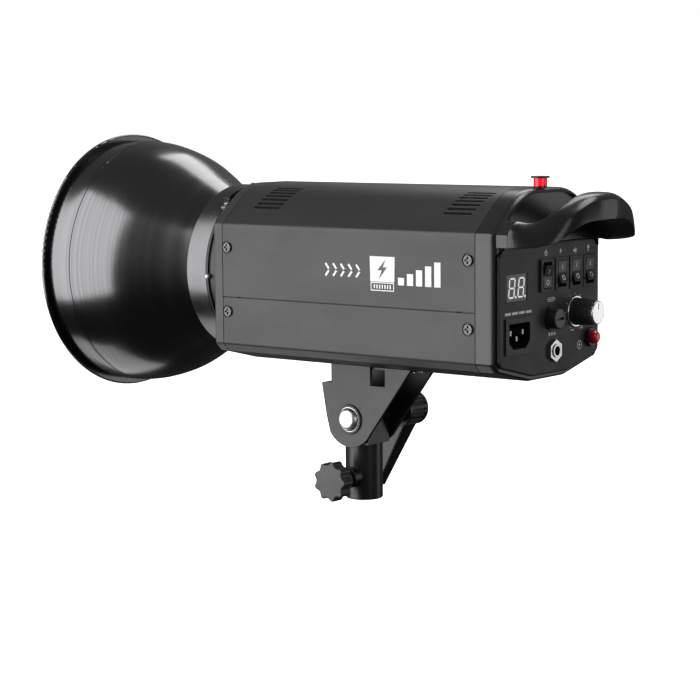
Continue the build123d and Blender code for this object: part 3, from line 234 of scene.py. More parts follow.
class Finish:
    """A procedural material on one Principled shader, patterned in the object's own coordinates."""

    def __init__(self, name, colour, roughness, metallic=0.0, specular=0.5):
        self.material = bpy.data.materials.new(name)
        self.material.use_nodes = True
        self.tree = self.material.node_tree
        self.shader = self.tree.nodes["Principled BSDF"]
        self.shader.inputs["Base Color"].default_value = (*colour, 1.0)
        self.shader.inputs["Roughness"].default_value = roughness
        self.shader.inputs["Metallic"].default_value = metallic
        self.shader.inputs["Specular IOR Level"].default_value = specular
        self.place = self.node("ShaderNodeTexCoord").outputs["Object"]

    def node(self, kind, **settings):
        """New shader node with its settings."""
        made = self.tree.nodes.new(kind)
        for key, value in settings.items():
            setattr(made, key, value)
        return made

    def feed(self, socket, value):
        """Links value into socket if it is a socket, else sets it."""
        if isinstance(value, bpy.types.NodeSocket):
            self.tree.links.new(value, socket)
        else:
            socket.default_value = value

    def set(self, name, value):
        """Feeds one socket of the Principled shader."""
        self.feed(self.shader.inputs[name], value)

    def vector(self, operation, a, b=None, output="Vector"):
        """Vector arithmetic on a, and on b where the operation takes two."""
        made = self.node("ShaderNodeVectorMath", operation=operation)
        self.feed(made.inputs[0], a)
        if b is not None:
            self.feed(made.inputs[1], b)
        return made.outputs[output]

    def noise(self, scale, detail=3.0, rough=0.55, stretch=None):
        """Cloudy noise from 0 to 1, drawn out along an axis where stretch is below 1."""
        texture = self.node("ShaderNodeTexNoise")
        texture.inputs["Scale"].default_value = scale
        texture.inputs["Detail"].default_value = detail
        texture.inputs["Roughness"].default_value = rough
        where = self.vector("MULTIPLY", self.place, stretch) if stretch else self.place
        self.feed(texture.inputs["Vector"], where)
        return texture.outputs["Fac"]

    def cells(self, scale):
        """Soft rounded cells."""
        texture = self.node("ShaderNodeTexVoronoi", feature="SMOOTH_F1")
        texture.inputs["Scale"].default_value = scale
        self.feed(texture.inputs["Vector"], self.place)
        return texture.outputs["Distance"]

    def math(self, operation, a, b):
        """Arithmetic on two values."""
        made = self.node("ShaderNodeMath", operation=operation)
        self.feed(made.inputs[0], a)
        self.feed(made.inputs[1], b)
        return made.outputs["Value"]

    def span(self, value, from_low, from_high, to_low=0.0, to_high=1.0):
        """value mapped from one range to another, held at the ends."""
        made = self.node("ShaderNodeMapRange")
        self.feed(made.inputs["Value"], value)
        made.inputs["From Min"].default_value = from_low
        made.inputs["From Max"].default_value = from_high
        made.inputs["To Min"].default_value = to_low
        made.inputs["To Max"].default_value = to_high
        return made.outputs["Result"]

    def blend(self, share, a, b):
        """Colour a at share 0 and b at share 1."""
        made = self.node("ShaderNodeMix", data_type="RGBA")
        self.feed(made.inputs[0], share)
        for socket, value in ((made.inputs[6], a), (made.inputs[7], b)):
            self.feed(socket, (*value, 1.0) if isinstance(value, tuple) and len(value) == 3 else value)
        return made.outputs[2]

    def tones(self, pattern, colour, dark, pale):
        """colour times dark to colour times pale, as the pattern runs from low to high."""
        return self.blend(self.span(pattern, 0.3, 0.7), lighter(colour, dark), lighter(colour, pale))

    def axis_part(self, name):
        """Coordinate along one axis."""
        split = self.node("ShaderNodeSeparateXYZ")
        self.feed(split.inputs[0], self.place)
        return split.outputs[name]

    def off_axis(self, centre, axis):
        """Vector out to the surface from the line through centre along axis."""
        moved = self.vector("SUBTRACT", self.place, centre)
        return self.vector("MULTIPLY", moved, [0.0 if letter == axis else 1.0 for letter in "XYZ"])

    def from_axis(self, centre, axis):
        """Distance from the line through centre along axis."""
        return self.vector("LENGTH", self.off_axis(centre, axis), output="Value")

    def rings(self, distance, pitch):
        """Fine random rings: noise that changes only with the distance from an axis."""
        texture = self.node("ShaderNodeTexNoise", noise_dimensions="1D")
        texture.inputs["Scale"].default_value = 1.0
        texture.inputs["Detail"].default_value = 3.0
        self.feed(texture.inputs["W"], self.math("MULTIPLY", distance, 1.0 / pitch))
        return texture.outputs["Fac"]

    def facing(self, direction, low, high):
        """0 to 1 as the surface turns to face direction, between two cosines."""
        normal = self.node("ShaderNodeTexCoord").outputs["Normal"]
        cosine = self.vector("DOT_PRODUCT", normal, direction, "Value")
        return self.span(cosine, low, high)

    def sideways(self, low, high):
        """0 to 1 as the surface turns to face +X or -X, between two cosines."""
        return self.math("MAXIMUM", self.facing((1, 0, 0), low, high), self.facing((-1, 0, 0), low, high))

    def rounded_normal(self, radius):
        """Normal as if the edges had a small radius, in metres."""
        soft = self.node("ShaderNodeBevel", samples=BEVEL_SAMPLES)
        soft.inputs["Radius"].default_value = radius
        return soft.outputs["Normal"]

    def edge_share(self, radius):
        """1 on sharp edges, 0 on flats, from how far a rounded normal leans from the true one."""
        true = self.node("ShaderNodeNewGeometry").outputs["Normal"]
        cosine = self.vector("DOT_PRODUCT", self.rounded_normal(radius), true, "Value")
        return self.span(cosine, 0.99, 0.8)

    def rubbed(self):
        """Broken wear along the edges of painted metal."""
        patches = self.span(self.noise(160), 0.45, 0.62)
        return self.math("MULTIPLY", self.edge_share(EDGE_RADIUS), patches)

    def bump(self, height, strength, depth, round_edges=0.0):
        """Bump from height over depth metres, on normals rounded at the edges by round_edges metres."""
        made = self.node("ShaderNodeBump")
        made.inputs["Strength"].default_value = strength
        made.inputs["Distance"].default_value = depth
        self.feed(made.inputs["Height"], height)
        if round_edges:
            self.feed(made.inputs["Normal"], self.rounded_normal(round_edges))
        self.set("Normal", made.outputs["Normal"])


def painted_metal(name, colour, roughness, edge_colour=None, slots_above=None):
    """Sprayed paint on sheet or castings: orange peel, faint mottling, handling marks, thin edges.

    Upright walls higher than slots_above are the cut edges of the louvres; they are painted near-black with little
    reflection, as painted shade for the shade inside the slots."""
    made = Finish(name, colour, roughness)
    speck = made.noise(2600, detail=1)
    tone = made.tones(made.noise(14, detail=4), colour, 0.93, 1.07)
    tone = made.blend(made.span(speck, 0.66, 0.8, 0, 0.35), tone, lighter(colour, 1.5))
    worn = made.math("MULTIPLY", made.rubbed(), 0.55)
    tone = made.blend(worn, tone, edge_colour or lighter(colour, 2.0))
    if slots_above:
        high_up = made.math("GREATER_THAN", made.axis_part("Z"), slots_above)
        # Painted shade: the louvres' cut walls get a near-black colour and little specular, standing in for the
        # shade inside the slots.
        cut = made.math("MULTIPLY", made.sideways(0.8, 0.9), high_up)
        tone = made.blend(cut, tone, SLOT_PAINTED_SHADE)
        made.set("Specular IOR Level", made.span(cut, 0, 1, 0.5, 0.05))
    made.set("Base Color", tone)
    marks = made.noise(35, detail=5, rough=0.7, stretch=(1.0, 0.35, 1.0))
    made.set("Roughness", made.span(marks, 0.3, 0.75, roughness - 0.05, roughness + 0.07))
    made.bump(made.noise(PAINT_GRAIN, detail=2), 0.35, PAINT_DEPTH, round_edges=0.0005)
    return made.material


def moulding(name, colour, roughness, grain, depth, specular=0.5, coat=0.0, round_edges=0.0004):
    """Moulded plastic: spark-eroded texture, faint flow marks, slightly polished edges."""
    made = Finish(name, colour, roughness, specular=specular)
    flow = made.noise(22, detail=3, stretch=(1.0, 0.5, 1.0))
    tone = made.tones(flow, colour, 0.92, 1.08)
    polished = made.math("MULTIPLY", made.edge_share(0.0005), 0.35)
    made.set("Base Color", made.blend(polished, tone, lighter(colour, 1.6)))
    made.set("Roughness", made.span(made.noise(60, detail=4), 0.3, 0.7, roughness - 0.04, roughness + 0.05))
    made.shader.inputs["Coat Weight"].default_value = coat
    made.shader.inputs["Coat Roughness"].default_value = 0.06
    made.bump(made.cells(grain), 0.5, depth, round_edges=round_edges)
    return made.material


def bare_metal(name, colour, roughness, centre=None, pitch=None, depth=0.00001):
    """Plated or bare metal: turning rings about the Y line through centre if there is one, else fine scratches."""
    made = Finish(name, colour, roughness, metallic=1.0)
    if centre is None:
        lines = made.noise(2400, detail=3, stretch=(1.0, 0.08, 1.0))
    else:
        lines = made.rings(made.math("ADD", made.from_axis(centre, "Y"), made.axis_part("Y")), pitch)
    made.set("Base Color", made.tones(lines, colour, 0.86, 1.06))
    made.set("Roughness", made.span(made.noise(60, detail=2), 0.3, 0.7, roughness - 0.02, roughness + 0.04))
    made.bump(lines, 0.4, depth, round_edges=0.0003)
    return made.material


def clear_glass(name, tint, roughness, ripple=0.00002):
    """Drawn glass with a faint ripple."""
    made = Finish(name, tint, roughness)
    made.shader.inputs["Transmission Weight"].default_value = 1.0
    made.shader.inputs["IOR"].default_value = 1.46
    made.bump(made.noise(90, detail=1), 0.2, ripple)
    return made.material


def lit(name, colour, strength):
    """Lit display segment, its glow slightly uneven."""
    made = Finish(name, colour, 0.4)
    glow = made.span(made.noise(400, detail=1), 0.3, 0.7, 0.86, 1.0)
    made.set("Emission Color", made.blend(glow, lighter(colour, 0.8), colour))
    made.shader.inputs["Emission Strength"].default_value = strength
    return made.material


def reflector_metal():
    """Spun aluminium bowl: satin black outside, bright and pebbled inside."""
    made = Finish("reflector_spun", BOWL_BLACK, 0.3)
    distance = made.from_axis(LIGHT_AXIS, "Y")
    outward = made.vector("NORMALIZE", made.off_axis(LIGHT_AXIS, "Y"))
    inside = made.facing(outward, -0.02, -0.05)
    grooves = made.rings(distance, 0.35 * MM)
    bands = made.rings(distance, 4 * MM)
    black_tone = made.tones(grooves, BOWL_BLACK, 0.9, 1.15)
    silver_tone = made.tones(grooves, BOWL_SILVER, 0.9, 1.0)
    made.set("Base Color", made.blend(inside, black_tone, silver_tone))
    made.shader.inputs["Metallic"].default_value = 1.0
    made.set("Roughness", made.span(bands, 0.3, 0.7, 0.18, 0.215))
    pebbles = made.cells(320)
    heights = made.node("ShaderNodeMix", data_type="FLOAT")
    made.feed(heights.inputs[0], inside)
    made.feed(heights.inputs[2], made.math("MULTIPLY", grooves, 0.02))
    made.feed(heights.inputs[3], pebbles)
    made.bump(heights.outputs[0], 0.6, 0.0004)
    return made.material


def housing_moulding():
    """Rear housing of gloss black plastic: the satin grey on its flat sides below the handle is a painted
    reflection of the key softbox; gloss black on the dome, the lugs, the foot and the rear face.
    """
    made = Finish("housing_moulded", HOUSING_SHEEN_GREY, 0.3)
    side = made.sideways(0.86, 0.97)
    below_lugs = made.math("LESS_THAN", made.axis_part("Z"), SHEEN_TOP_Z)
    # Painted reflection: flat sides below the handle's foot turn grey where the key softbox reflects in the gloss
    # black plastic.
    grey = made.math("MULTIPLY", side, below_lugs)
    flow = made.span(made.noise(22, detail=3, stretch=(1.0, 0.5, 1.0)), 0.3, 0.7)
    grey_tone = made.blend(flow, lighter(HOUSING_SHEEN_GREY, 0.93), lighter(HOUSING_SHEEN_GREY, 1.07))
    black_tone = made.blend(flow, GLOSS_BLACK, lighter(GLOSS_BLACK, 1.3))
    made.set("Base Color", made.blend(grey, black_tone, grey_tone))
    made.set("Roughness", made.span(grey, 0, 1, 0.27, 0.34))
    made.bump(made.cells(1500), 0.4, 0.00001, round_edges=0.0004)
    return made.material


def inlet_moulding():
    """Mains inlet: its flange face takes the panel's grey; its cavity and body are matt black, and the same black
    on the flange's sides is painted shade for the gap around the flange.
    """
    made = Finish("inlet_moulded", PANEL_GREY, 0.45)
    proud = made.math("GREATER_THAN", made.axis_part("Y"), FLANGE_Y)
    face = made.math("MULTIPLY", proud, made.facing((0, 1, 0), 0.8, 0.95))
    speck = made.span(made.noise(900, detail=2), 0.35, 0.65)
    # Matt black for the body and cavity, and painted shade on the flange's sides for the gap around the flange.
    black_tone = made.blend(speck, INLET_BLACK_AND_SHADE, SATIN_BLACK)
    grey_tone = made.blend(speck, lighter(PANEL_GREY, 0.85), PANEL_GREY)
    made.set("Base Color", made.blend(face, black_tone, grey_tone))
    made.set("Roughness", made.span(speck, 0, 1, 0.4, 0.52))
    made.bump(made.cells(1900), 0.5, 0.00002, round_edges=0.0003)
    return made.material


def bracket_paint():
    """Painted bracket: satin grey outside its ears; the faces between the ears are painted near-black as painted
    shade.
    """
    made = Finish("bracket_satin_grey", BRACKET_GREY, 0.4)
    across = made.axis_part("X")
    far_inner_shade = made.math("MULTIPLY", made.facing((1, 0, 0), 0.5, 0.9), made.math("LESS_THAN", across, 0.0))
    near_inner_shade = made.math("MULTIPLY", made.facing((-1, 0, 0), 0.5, 0.9), made.math("GREATER_THAN", across, 0.0))
    inner = made.math("MAXIMUM", far_inner_shade, near_inner_shade)
    outside = made.tones(made.noise(14, detail=4), BRACKET_GREY, 0.93, 1.07)
    # Painted shade: the ears' inner faces get satin black for the shade between the ears.
    tone = made.blend(inner, outside, SATIN_BLACK)
    worn = made.math("MULTIPLY", made.rubbed(), 0.5)
    made.set("Base Color", made.blend(worn, tone, lighter(BRACKET_GREY, 2.0)))
    made.set("Roughness", made.span(made.noise(35, detail=5, rough=0.7), 0.3, 0.75, 0.36, 0.48))
    made.bump(made.noise(PAINT_GRAIN, detail=2), 0.35, PAINT_DEPTH, round_edges=0.0005)
    return made.material


def bolt_metal():
    """Pivot bolt: polished dome and shank, its flange painted with the bracket."""
    made = Finish("bolt_polished", POLISHED, 0.36, metallic=1.0)
    flange = made.math("GREATER_THAN", made.from_axis(PIVOT, "X"), BOLT_DOME_R)
    scratches = made.span(made.noise(500, detail=4, stretch=(1.0, 0.08, 1.0)), 0.3, 0.7)
    metal = made.blend(scratches, lighter(POLISHED, 0.86), POLISHED)
    made.set("Base Color", made.blend(flange, metal, lighter(BRACKET_GREY, 2.0)))
    made.set("Roughness", made.span(scratches, 0, 1, 0.33, 0.4))
    made.bump(scratches, 0.3, 0.00002, round_edges=0.0003)
    return made.material


def ink(name, colour):
    """Screen-printed ink: slightly uneven cover and a fine mesh in its surface."""
    made = Finish(name, colour, 0.45)
    cover = made.span(made.noise(700, detail=3), 0.35, 0.65)
    made.set("Base Color", made.blend(cover, lighter(colour, 0.88), colour))
    made.set("Roughness", made.span(cover, 0, 1, 0.4, 0.52))
    made.bump(made.noise(5200, detail=1), 0.3, 0.00001)
    return made.material


SHELL_GREY = (0.015, 0.015, 0.016)
FRAME_GREY = (0.022, 0.022, 0.023)
BRACKET_GREY = (0.02, 0.02, 0.021)
PANEL_GREY = (0.03, 0.03, 0.031)
# Painted reflection of the key on the rear housing's gloss black sides.
HOUSING_SHEEN_GREY = (0.026, 0.026, 0.027)
GLOSS_BLACK = (0.009, 0.009, 0.01)
# Inlet's matt black, also painted shade for the gap around its flange.
INLET_BLACK_AND_SHADE = (0.006, 0.006, 0.007)
SATIN_BLACK = (0.009, 0.009, 0.01)
COLLAR_BLACK = (0.125, 0.125, 0.128)
# Painted shade for the louvres' cut walls.
SLOT_PAINTED_SHADE = (0.001, 0.001, 0.001)
BOWL_BLACK = (0.115, 0.115, 0.118)
BOWL_SILVER = (0.83, 0.83, 0.84)
STEEL = (0.62, 0.62, 0.64)
ALUMINIUM = (0.86, 0.86, 0.87)
POLISHED = (0.8, 0.8, 0.81)
BOLT_DOME_R = 8.7 * MM


def paint(material, *names):
    """Gives CAD nodes a finish."""
    for name in names:
        mesh = nodes[name].data
        mesh.materials.clear()
        mesh.materials.append(material)


def finish_cad_nodes():
    """One finish for each material the strobe is made of."""
    paint(
        painted_metal("shell_satin_grey", SHELL_GREY, 0.42, slots_above=SHOULDER_Z),
        "upper_cover", "lower_cover",
    )
    paint(painted_metal("frame_satin_grey", FRAME_GREY, 0.4), "front_frame")
    paint(bracket_paint(), "tilt_bracket")
    paint(painted_metal("socket_satin_black", SATIN_BLACK, 0.33, edge_colour=(0.2, 0.2, 0.2)), "stand_socket")
    paint(painted_metal("drum_black", SATIN_BLACK, 0.4), "mount_drum", "lock_ring", "lock_lever")
    paint(housing_moulding(), "rear_housing")
    paint(moulding("handle_black", GLOSS_BLACK, 0.27, 900, 0.00001, specular=0.36, coat=0.12), "handle")
    paint(moulding("panel_fine_matt", PANEL_GREY, 0.5, 2200, 0.00003), "rear_panel", "rocker_bezels")
    paint(inlet_moulding(), "mains_inlet")
    paint(moulding("knob_grained", (0.03, 0.03, 0.031), 0.42, 1700, 0.00004), "clamp_knob", "power_knob")
    paint(moulding("lever_grained", (0.008, 0.008, 0.009), 0.36, 1700, 0.00004), "tilt_lever")
    paint(
        moulding("switch_satin", (0.022, 0.022, 0.023), 0.32, 1200, 0.00001, round_edges=0.0003),
        "rocker_1", "rocker_2", "rocker_3", "rocker_4", "fuse_cap",
    )
    paint(
        moulding("fittings_black", (0.008, 0.008, 0.009), 0.34, 1900, 0.00003),
        "fuse_holder", "test_bezel", "fan_frame", "fan_rotor", "photocell_base", "photocell_cap",
    )
    paint(moulding("display_window", (0.006, 0.005, 0.006), 0.1, 400, 0.000002), "display_module")
    paint(lit("segments_lit", (1.0, 0.99, 0.97), 0.42), "display_segments")
    paint(reflector_metal(), "reflector_dish")
    paint(bare_metal("collar_spun", COLLAR_BLACK, 0.27, LIGHT_AXIS, pitch=0.0003), "reflector_collar")
    paint(bare_metal("plate_bright", ALUMINIUM, 0.28, LIGHT_AXIS, pitch=0.0005), "head_plate")
    paint(bare_metal("screw_dark_zinc", (0.11, 0.11, 0.115), 0.38), "cover_screws")
    paint(
        bare_metal("fastener_bright", STEEL, 0.22),
        "lever_washer", "bracket_screws", "lock_latch", "clamp_screw",
        "lever_insert", "lever_screw", "dial_shaft", "jack_nut", "sync_jack", "chassis_tray",
    )
    paint(bolt_metal(), "pivot_bolt")
    paint(bare_metal("pins_nickel", (0.4, 0.4, 0.39), 0.34), "inlet_pins")
    paint(
        bare_metal("dial_bright", ALUMINIUM, 0.2, middle("knob_cap"), pitch=0.0003, depth=0.00005),
        "knob_cap", "dial_ring",
    )
    paint(moulding("button_red", (0.72, 0.012, 0.02), 0.2, 900, 0.000004, coat=0.4), "test_button")
    paint(clear_glass("lens_red", (0.86, 0.008, 0.025), 0.12, ripple=0.0002), "photocell_lens")
    paint(clear_glass("tube_clear", (0.97, 0.98, 1.0), 0.03), "flash_tube", "fuse")
    paint(clear_glass("lamp_frosted", (0.98, 0.96, 0.92), 0.38), "modelling_lamp")
    paint(
        moulding("ceramic_glazed", (0.78, 0.76, 0.7), 0.24, 700, 0.00001, coat=0.3),
        "tube_sockets", "lamp_socket",
    )
    paint(moulding("washer_fibre", (0.3, 0.09, 0.05), 0.7, 2400, 0.00006), "friction_washers")
    paint(moulding("posts_nylon", (0.7, 0.68, 0.6), 0.4, 1200, 0.00001), "board_posts")
    paint(moulding("potentiometer_body", (0.03, 0.07, 0.16), 0.35, 1200, 0.00001), "potentiometer")
    paint(moulding("capacitor_sleeve", (0.02, 0.045, 0.16), 0.22, 600, 0.00001), "capacitors")
    paint(moulding("board_mask", (0.01, 0.12, 0.035), 0.3, 350, 0.00004), "main_board")
    paint(bare_metal("core_laminated", (0.3, 0.28, 0.26), 0.45), "transformer")


# ---------------------------------------------------------------- pieces made in mesh code
# Where the side graphic sits, in metres. The sizes after it are in millimetres.
SIDE_MARK_Y = 66.2 * MM
SIDE_MARK_Z = 168.0 * MM

PRINT_SUNK = 0.04
PRINT_PROUD = 0.07
FLASH_RISE = 2.0
FLASH_TALL = 13.5
RING_STEPS = 28
DISC_STEPS = 20

ICONS_Z = 180.4
ICON_FLASH_TALL = 4.6
SCALE_END_DEGREES = 150
SCALE_STEP_DEGREES = 30
SCALE_INNER_R = 11.4
SCALE_OUTER_R = 12.8

# A rocker's tip at rest, and its face: the valley's distance from the pivot, the rise to its ends, half its height.
ROCKER_TILT = math.radians(8)
ROCKER_FACE = 6.9
ROCKER_RISE = 1.5
ROCKER_HALF = 7.4

TUBE_RING_R = 30.0
TUBE_BULGE_R = 4.4
WIRE_R = 0.22
WIRE_LIFT = 0.2
WIRE_SIDES = 6
WIRE_TURNS = 22
WIRE_STEPS = 440
WIRE_GAP = math.radians(16)

POINTER_RISE = 4.2
POINTER_WIDE = 0.7
POINTER_LONG = 4.6

SENSOR_FOOT = 0.5
SENSOR_TALL = 3.4
SENSOR_R = 1.7

STUD_SUNK = 0.6
STUD_DROP = 3
STUD_STEPS = 16
STUD_PROFILE = ((0.0, 1.9), (1.2, 1.9), (2.0, 1.7), (2.7, 1.2), (3.0, 0.5))


def place_solid(mesh, name, finish, body):
    """Turns a bmesh into a piece that rides on a body."""
    bmesh.ops.recalc_face_normals(mesh, faces=mesh.faces)
    data = bpy.data.meshes.new(name)
    mesh.to_mesh(data)
    mesh.free()
    data.materials.append(finish)
    piece = bpy.data.objects.new(name, data)
    bpy.context.scene.collection.objects.link(piece)
    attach(piece, body)


def around(steps):
    """Angles of evenly spaced points on a circle."""
    return [2 * math.pi * i / steps for i in range(steps)]


def skin(mesh, loops):
    """Quads between each closed loop of vertices and the next."""
    for here, after in zip(loops, loops[1:]):
        for i in range(len(here)):
            j = (i + 1) % len(here)
            mesh.faces.new((here[i], here[j], after[j], after[i]))


class Marks:
    """Printed marks on one flat face, in millimetres across and up from its origin, as one thin raised mesh."""

    def __init__(self, origin, right, up, proud=PRINT_PROUD):
        self.mesh = bmesh.new()
        self.origin = Vector(origin)
        self.right = Vector(right)
        self.up = Vector(up)
        self.out = self.right.cross(self.up)
        self.proud = proud

    def level(self, outline, height):
        """Vertices of an outline, height above the face."""
        return [
            self.mesh.verts.new(self.origin + (self.right * u + self.up * v + self.out * height) * MM)
            for u, v in outline
        ]

    def circle(self, u, v, radius, steps):
        """Outline of a circle centred at (u, v)."""
        return [(u + radius * math.cos(t), v + radius * math.sin(t)) for t in around(steps)]

    def patch(self, outline):
        """Filled patch inside a closed outline."""
        low = self.level(outline, -PRINT_SUNK)
        high = self.level(outline, self.proud)
        self.mesh.faces.new(high)
        self.mesh.faces.new(low[::-1])
        skin(self.mesh, [low, high])

    def bar(self, u, v, wide, tall):
        """Upright bar centred at (u, v)."""
        w, h = wide / 2, tall / 2
        self.patch([(u - w, v - h), (u + w, v - h), (u + w, v + h), (u - w, v + h)])

    def stroke(self, start, end, wide):
        """Straight stroke from start to end."""
        a, b = Vector(start), Vector(end)
        along = (b - a).normalized()
        off = Vector((-along.y, along.x)) * wide / 2
        self.patch([tuple(a - off), tuple(b - off), tuple(b + off), tuple(a + off)])

    def ring(self, u, v, outer, inner):
        """Closed ring between two radii."""
        section = ((inner, -PRINT_SUNK), (outer, -PRINT_SUNK), (outer, self.proud), (inner, self.proud))
        loops = [self.level(self.circle(u, v, radius, RING_STEPS), height) for radius, height in section]
        skin(self.mesh, loops + loops[:1])

    def disc(self, u, v, radius):
        """Filled circle."""
        self.patch(self.circle(u, v, radius, DISC_STEPS))

    def bolt(self, u, v, size):
        """Lightning flash."""
        shape = ((0.22, 0.5), (-0.3, -0.06), (-0.03, -0.06), (-0.22, -0.5), (0.3, 0.1), (0.03, 0.1))
        self.patch([(u + x * size, v + y * size) for x, y in shape])

    def finish(self, name, finish, body, slot):
        """Places the marks as one piece."""
        place_solid(self.mesh, name, finish, body)


def print_chevrons(marks):
    """Row of arrowheads that point to the viewer's right."""
    count, first, pitch = 5, -48.5, 6.6
    deep, half, overlap, wide = 3.8, 4.2, 0.5, 1.5
    for i in range(count):
        u = first + pitch * i
        marks.stroke((u, half), (u + deep, -overlap), wide)
        marks.stroke((u + deep, overlap), (u, -half), wide)


def print_badge(marks):
    """Solid square for the lightning flash, above a low frame with a row of teeth in it."""
    half, bottom, top = 10.0, -6.4, 10.4
    marks.patch([(-half, bottom), (half, bottom), (top, top), (-top, top)])
    line, wide, post = 0.6, 19.4, 4.4
    frame_low, frame_high, frame_half, frame_middle = -12.2, -7.1, 9.4, -9.65
    for v in (frame_high, frame_low):
        marks.bar(0, v, wide, line)
    for u in (-frame_half, frame_half):
        marks.bar(u, frame_middle, line, post)
    teeth, first, pitch, tooth, tall = 7, -6.6, 2.2, 1.0, 2.6
    for i in range(teeth):
        marks.bar(first + pitch * i, frame_middle, tooth, tall)


def print_gauge(marks):
    """Level gauge: bars on one foot line, each taller than the last."""
    count, first, pitch, wide = 5, 15.6, 7.4, 5.0
    shortest, growth, foot = 5.0, 2.8, -8.0
    for i in range(count):
        tall = shortest + growth * i
        marks.bar(first + pitch * i, tall / 2 + foot, wide, tall)


def print_side(side, white, dark):
    """Generic graphic on one side: chevrons, a square with a lightning flash, and a rising level gauge."""
    tag = "near" if side > 0 else "far"
    right = (0, side, 0)
    face = Vector((side * SIDE_X, SIDE_MARK_Y, SIDE_MARK_Z))
    marks = Marks(face, right, (0, 0, 1))
    print_chevrons(marks)
    print_badge(marks)
    print_gauge(marks)
    marks.finish("side_print_" + tag, white, "lamp", "segment_white")
    flash = Marks(face, right, (0, 0, 1), proud=2 * PRINT_PROUD)
    flash.bolt(0, FLASH_RISE, FLASH_TALL)
    flash.finish("side_flash_" + tag, dark, "lamp", "shell_paint")


def print_rocker_icons(marks):
    """Power, flash, sound and lamp symbols above the four rockers."""
    power, flash, sound, lamp = [across_and_up("rocker_%d" % i)[0] for i in (1, 2, 3, 4)]
    marks.ring(power, ICONS_Z, 1.7, 1.1)
    marks.stroke((power, ICONS_Z + 0.2), (power, ICONS_Z + 2.4), 0.7)
    marks.bolt(flash, ICONS_Z + 0.6, ICON_FLASH_TALL)
    back, throat, mouth, neck, flare = sound - 1.8, sound - 0.4, sound + 1.0, 0.7, 2.0
    marks.patch([
        (back, ICONS_Z - neck), (throat, ICONS_Z - neck), (mouth, ICONS_Z - flare),
        (mouth, ICONS_Z + flare), (throat, ICONS_Z + neck), (back, ICONS_Z + neck),
    ])
    marks.bar(sound + 2.2, ICONS_Z, 0.5, 2.4)
    marks.disc(lamp, ICONS_Z + 1.4, 1.4)
    marks.bar(lamp, ICONS_Z - 0.8, 1.3, 1.4)


def print_socket_labels(marks):
    """Label bars above the mains inlet and the sync socket, and a fuse symbol above the fuse holder."""
    u, v = across_and_up("mains_inlet")
    for i in range(4):
        marks.bar(u - 12.0 + 8.0 * i, v + 14.9, 6.6, 1.7)
    u, v = across_and_up("fuse_holder")
    fuse_v, line = v + 12.4, 0.5
    for rise in (-1.1, 1.1):
        marks.bar(u, fuse_v + rise, 7.4, line)
    for shift in (-3.5, 3.5):
        marks.bar(u + shift, fuse_v, line, 2.4)
    marks.bar(u, fuse_v, 10.0, line)
    u, v = across_and_up("jack_nut")
    for i in (-1, 0, 1):
        marks.bar(u - 2.0 + 3.0 * i, v + 11.2, 2.0, 2.0)


def print_dial_scale(marks):
    """Ticks around the dial, with a minus and a plus below it."""
    u, v = across_and_up("dial_ring")
    minus_v, plus_u, plus_v = v - 12.4, u + 7.6, v - 11.6
    marks.bar(u - 3.6, minus_v, 4.2, 0.8)
    marks.bar(plus_u, plus_v, 4.2, 0.8)
    marks.bar(plus_u, plus_v, 0.8, 2.8)
    for degrees in range(-SCALE_END_DEGREES, SCALE_END_DEGREES + 1, SCALE_STEP_DEGREES):
        across, up = math.sin(math.radians(degrees)), math.cos(math.radians(degrees))
        marks.stroke(
            (u + SCALE_INNER_R * across, v + SCALE_INNER_R * up),
            (u + SCALE_OUTER_R * across, v + SCALE_OUTER_R * up),
            0.4,
        )


def print_test_mark(marks):
    """Ringed lightning flash, below and to the left of the test button."""
    u, v = across_and_up("test_bezel")
    left, below = 12.6, 4.4
    marks.bolt(u - left, v - below, ICON_FLASH_TALL)
    marks.ring(u - left, v - below, 3.0, 2.5)


def print_panel(white):
    """Generic symbols and label bars on the control panel, measured across from X = 0 and up from Z = 0."""
    marks = Marks((0, PANEL_Y, 0), (-1, 0, 0), (0, 0, 1))
    print_rocker_icons(marks)
    print_socket_labels(marks)
    print_dial_scale(marks)
    print_test_mark(marks)
    marks.finish("panel_print", white, "lamp", "segment_white")


def print_rockers(white):
    """On and off marks on the two halves of each rocker's face, which stands tipped at rest."""
    for joint in frame["joints"]:
        if not joint["name"].startswith("rocker"):
            continue
        body = joint["child"]
        node = frame["record"]["behaviour"]["bodies"][body][0]
        tilt = ROCKER_TILT if joint["range_deg"][0] < 0 else -ROCKER_TILT
        turn = Matrix.Rotation(tilt, 3, "X")
        pivot = Vector(joint["pos_m"])

        def half_face(side):
            """Marks on the upper (1) or the lower (-1) half."""
            up = turn @ Vector((0, side * ROCKER_RISE, ROCKER_HALF)).normalized()
            middle_of_half = Vector((0, ROCKER_FACE + ROCKER_RISE / 2, side * ROCKER_HALF / 2))
            return Marks(pivot + turn @ middle_of_half * MM, (-1, 0, 0), up)

        on = half_face(1)
        on.bar(0, 0, 0.8, 3.2)
        on.finish(node + "_on_mark", white, body, "segment_white")
        off = half_face(-1)
        off.ring(0, 0, 1.8, 1.2)
        off.finish(node + "_off_mark", white, body, "segment_white")


def mark_knob(dark):
    """Pointer line on the power knob's bright cap."""
    centre = middle("knob_cap")
    face_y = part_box("knob_cap")[1].y
    pointer = Marks((centre.x, face_y, centre.z), (-1, 0, 0), (0, 0, 1))
    pointer.bar(0, POINTER_RISE, POINTER_WIDE, POINTER_LONG)
    pointer.finish("knob_pointer", dark, "dial", "knob_plastic")


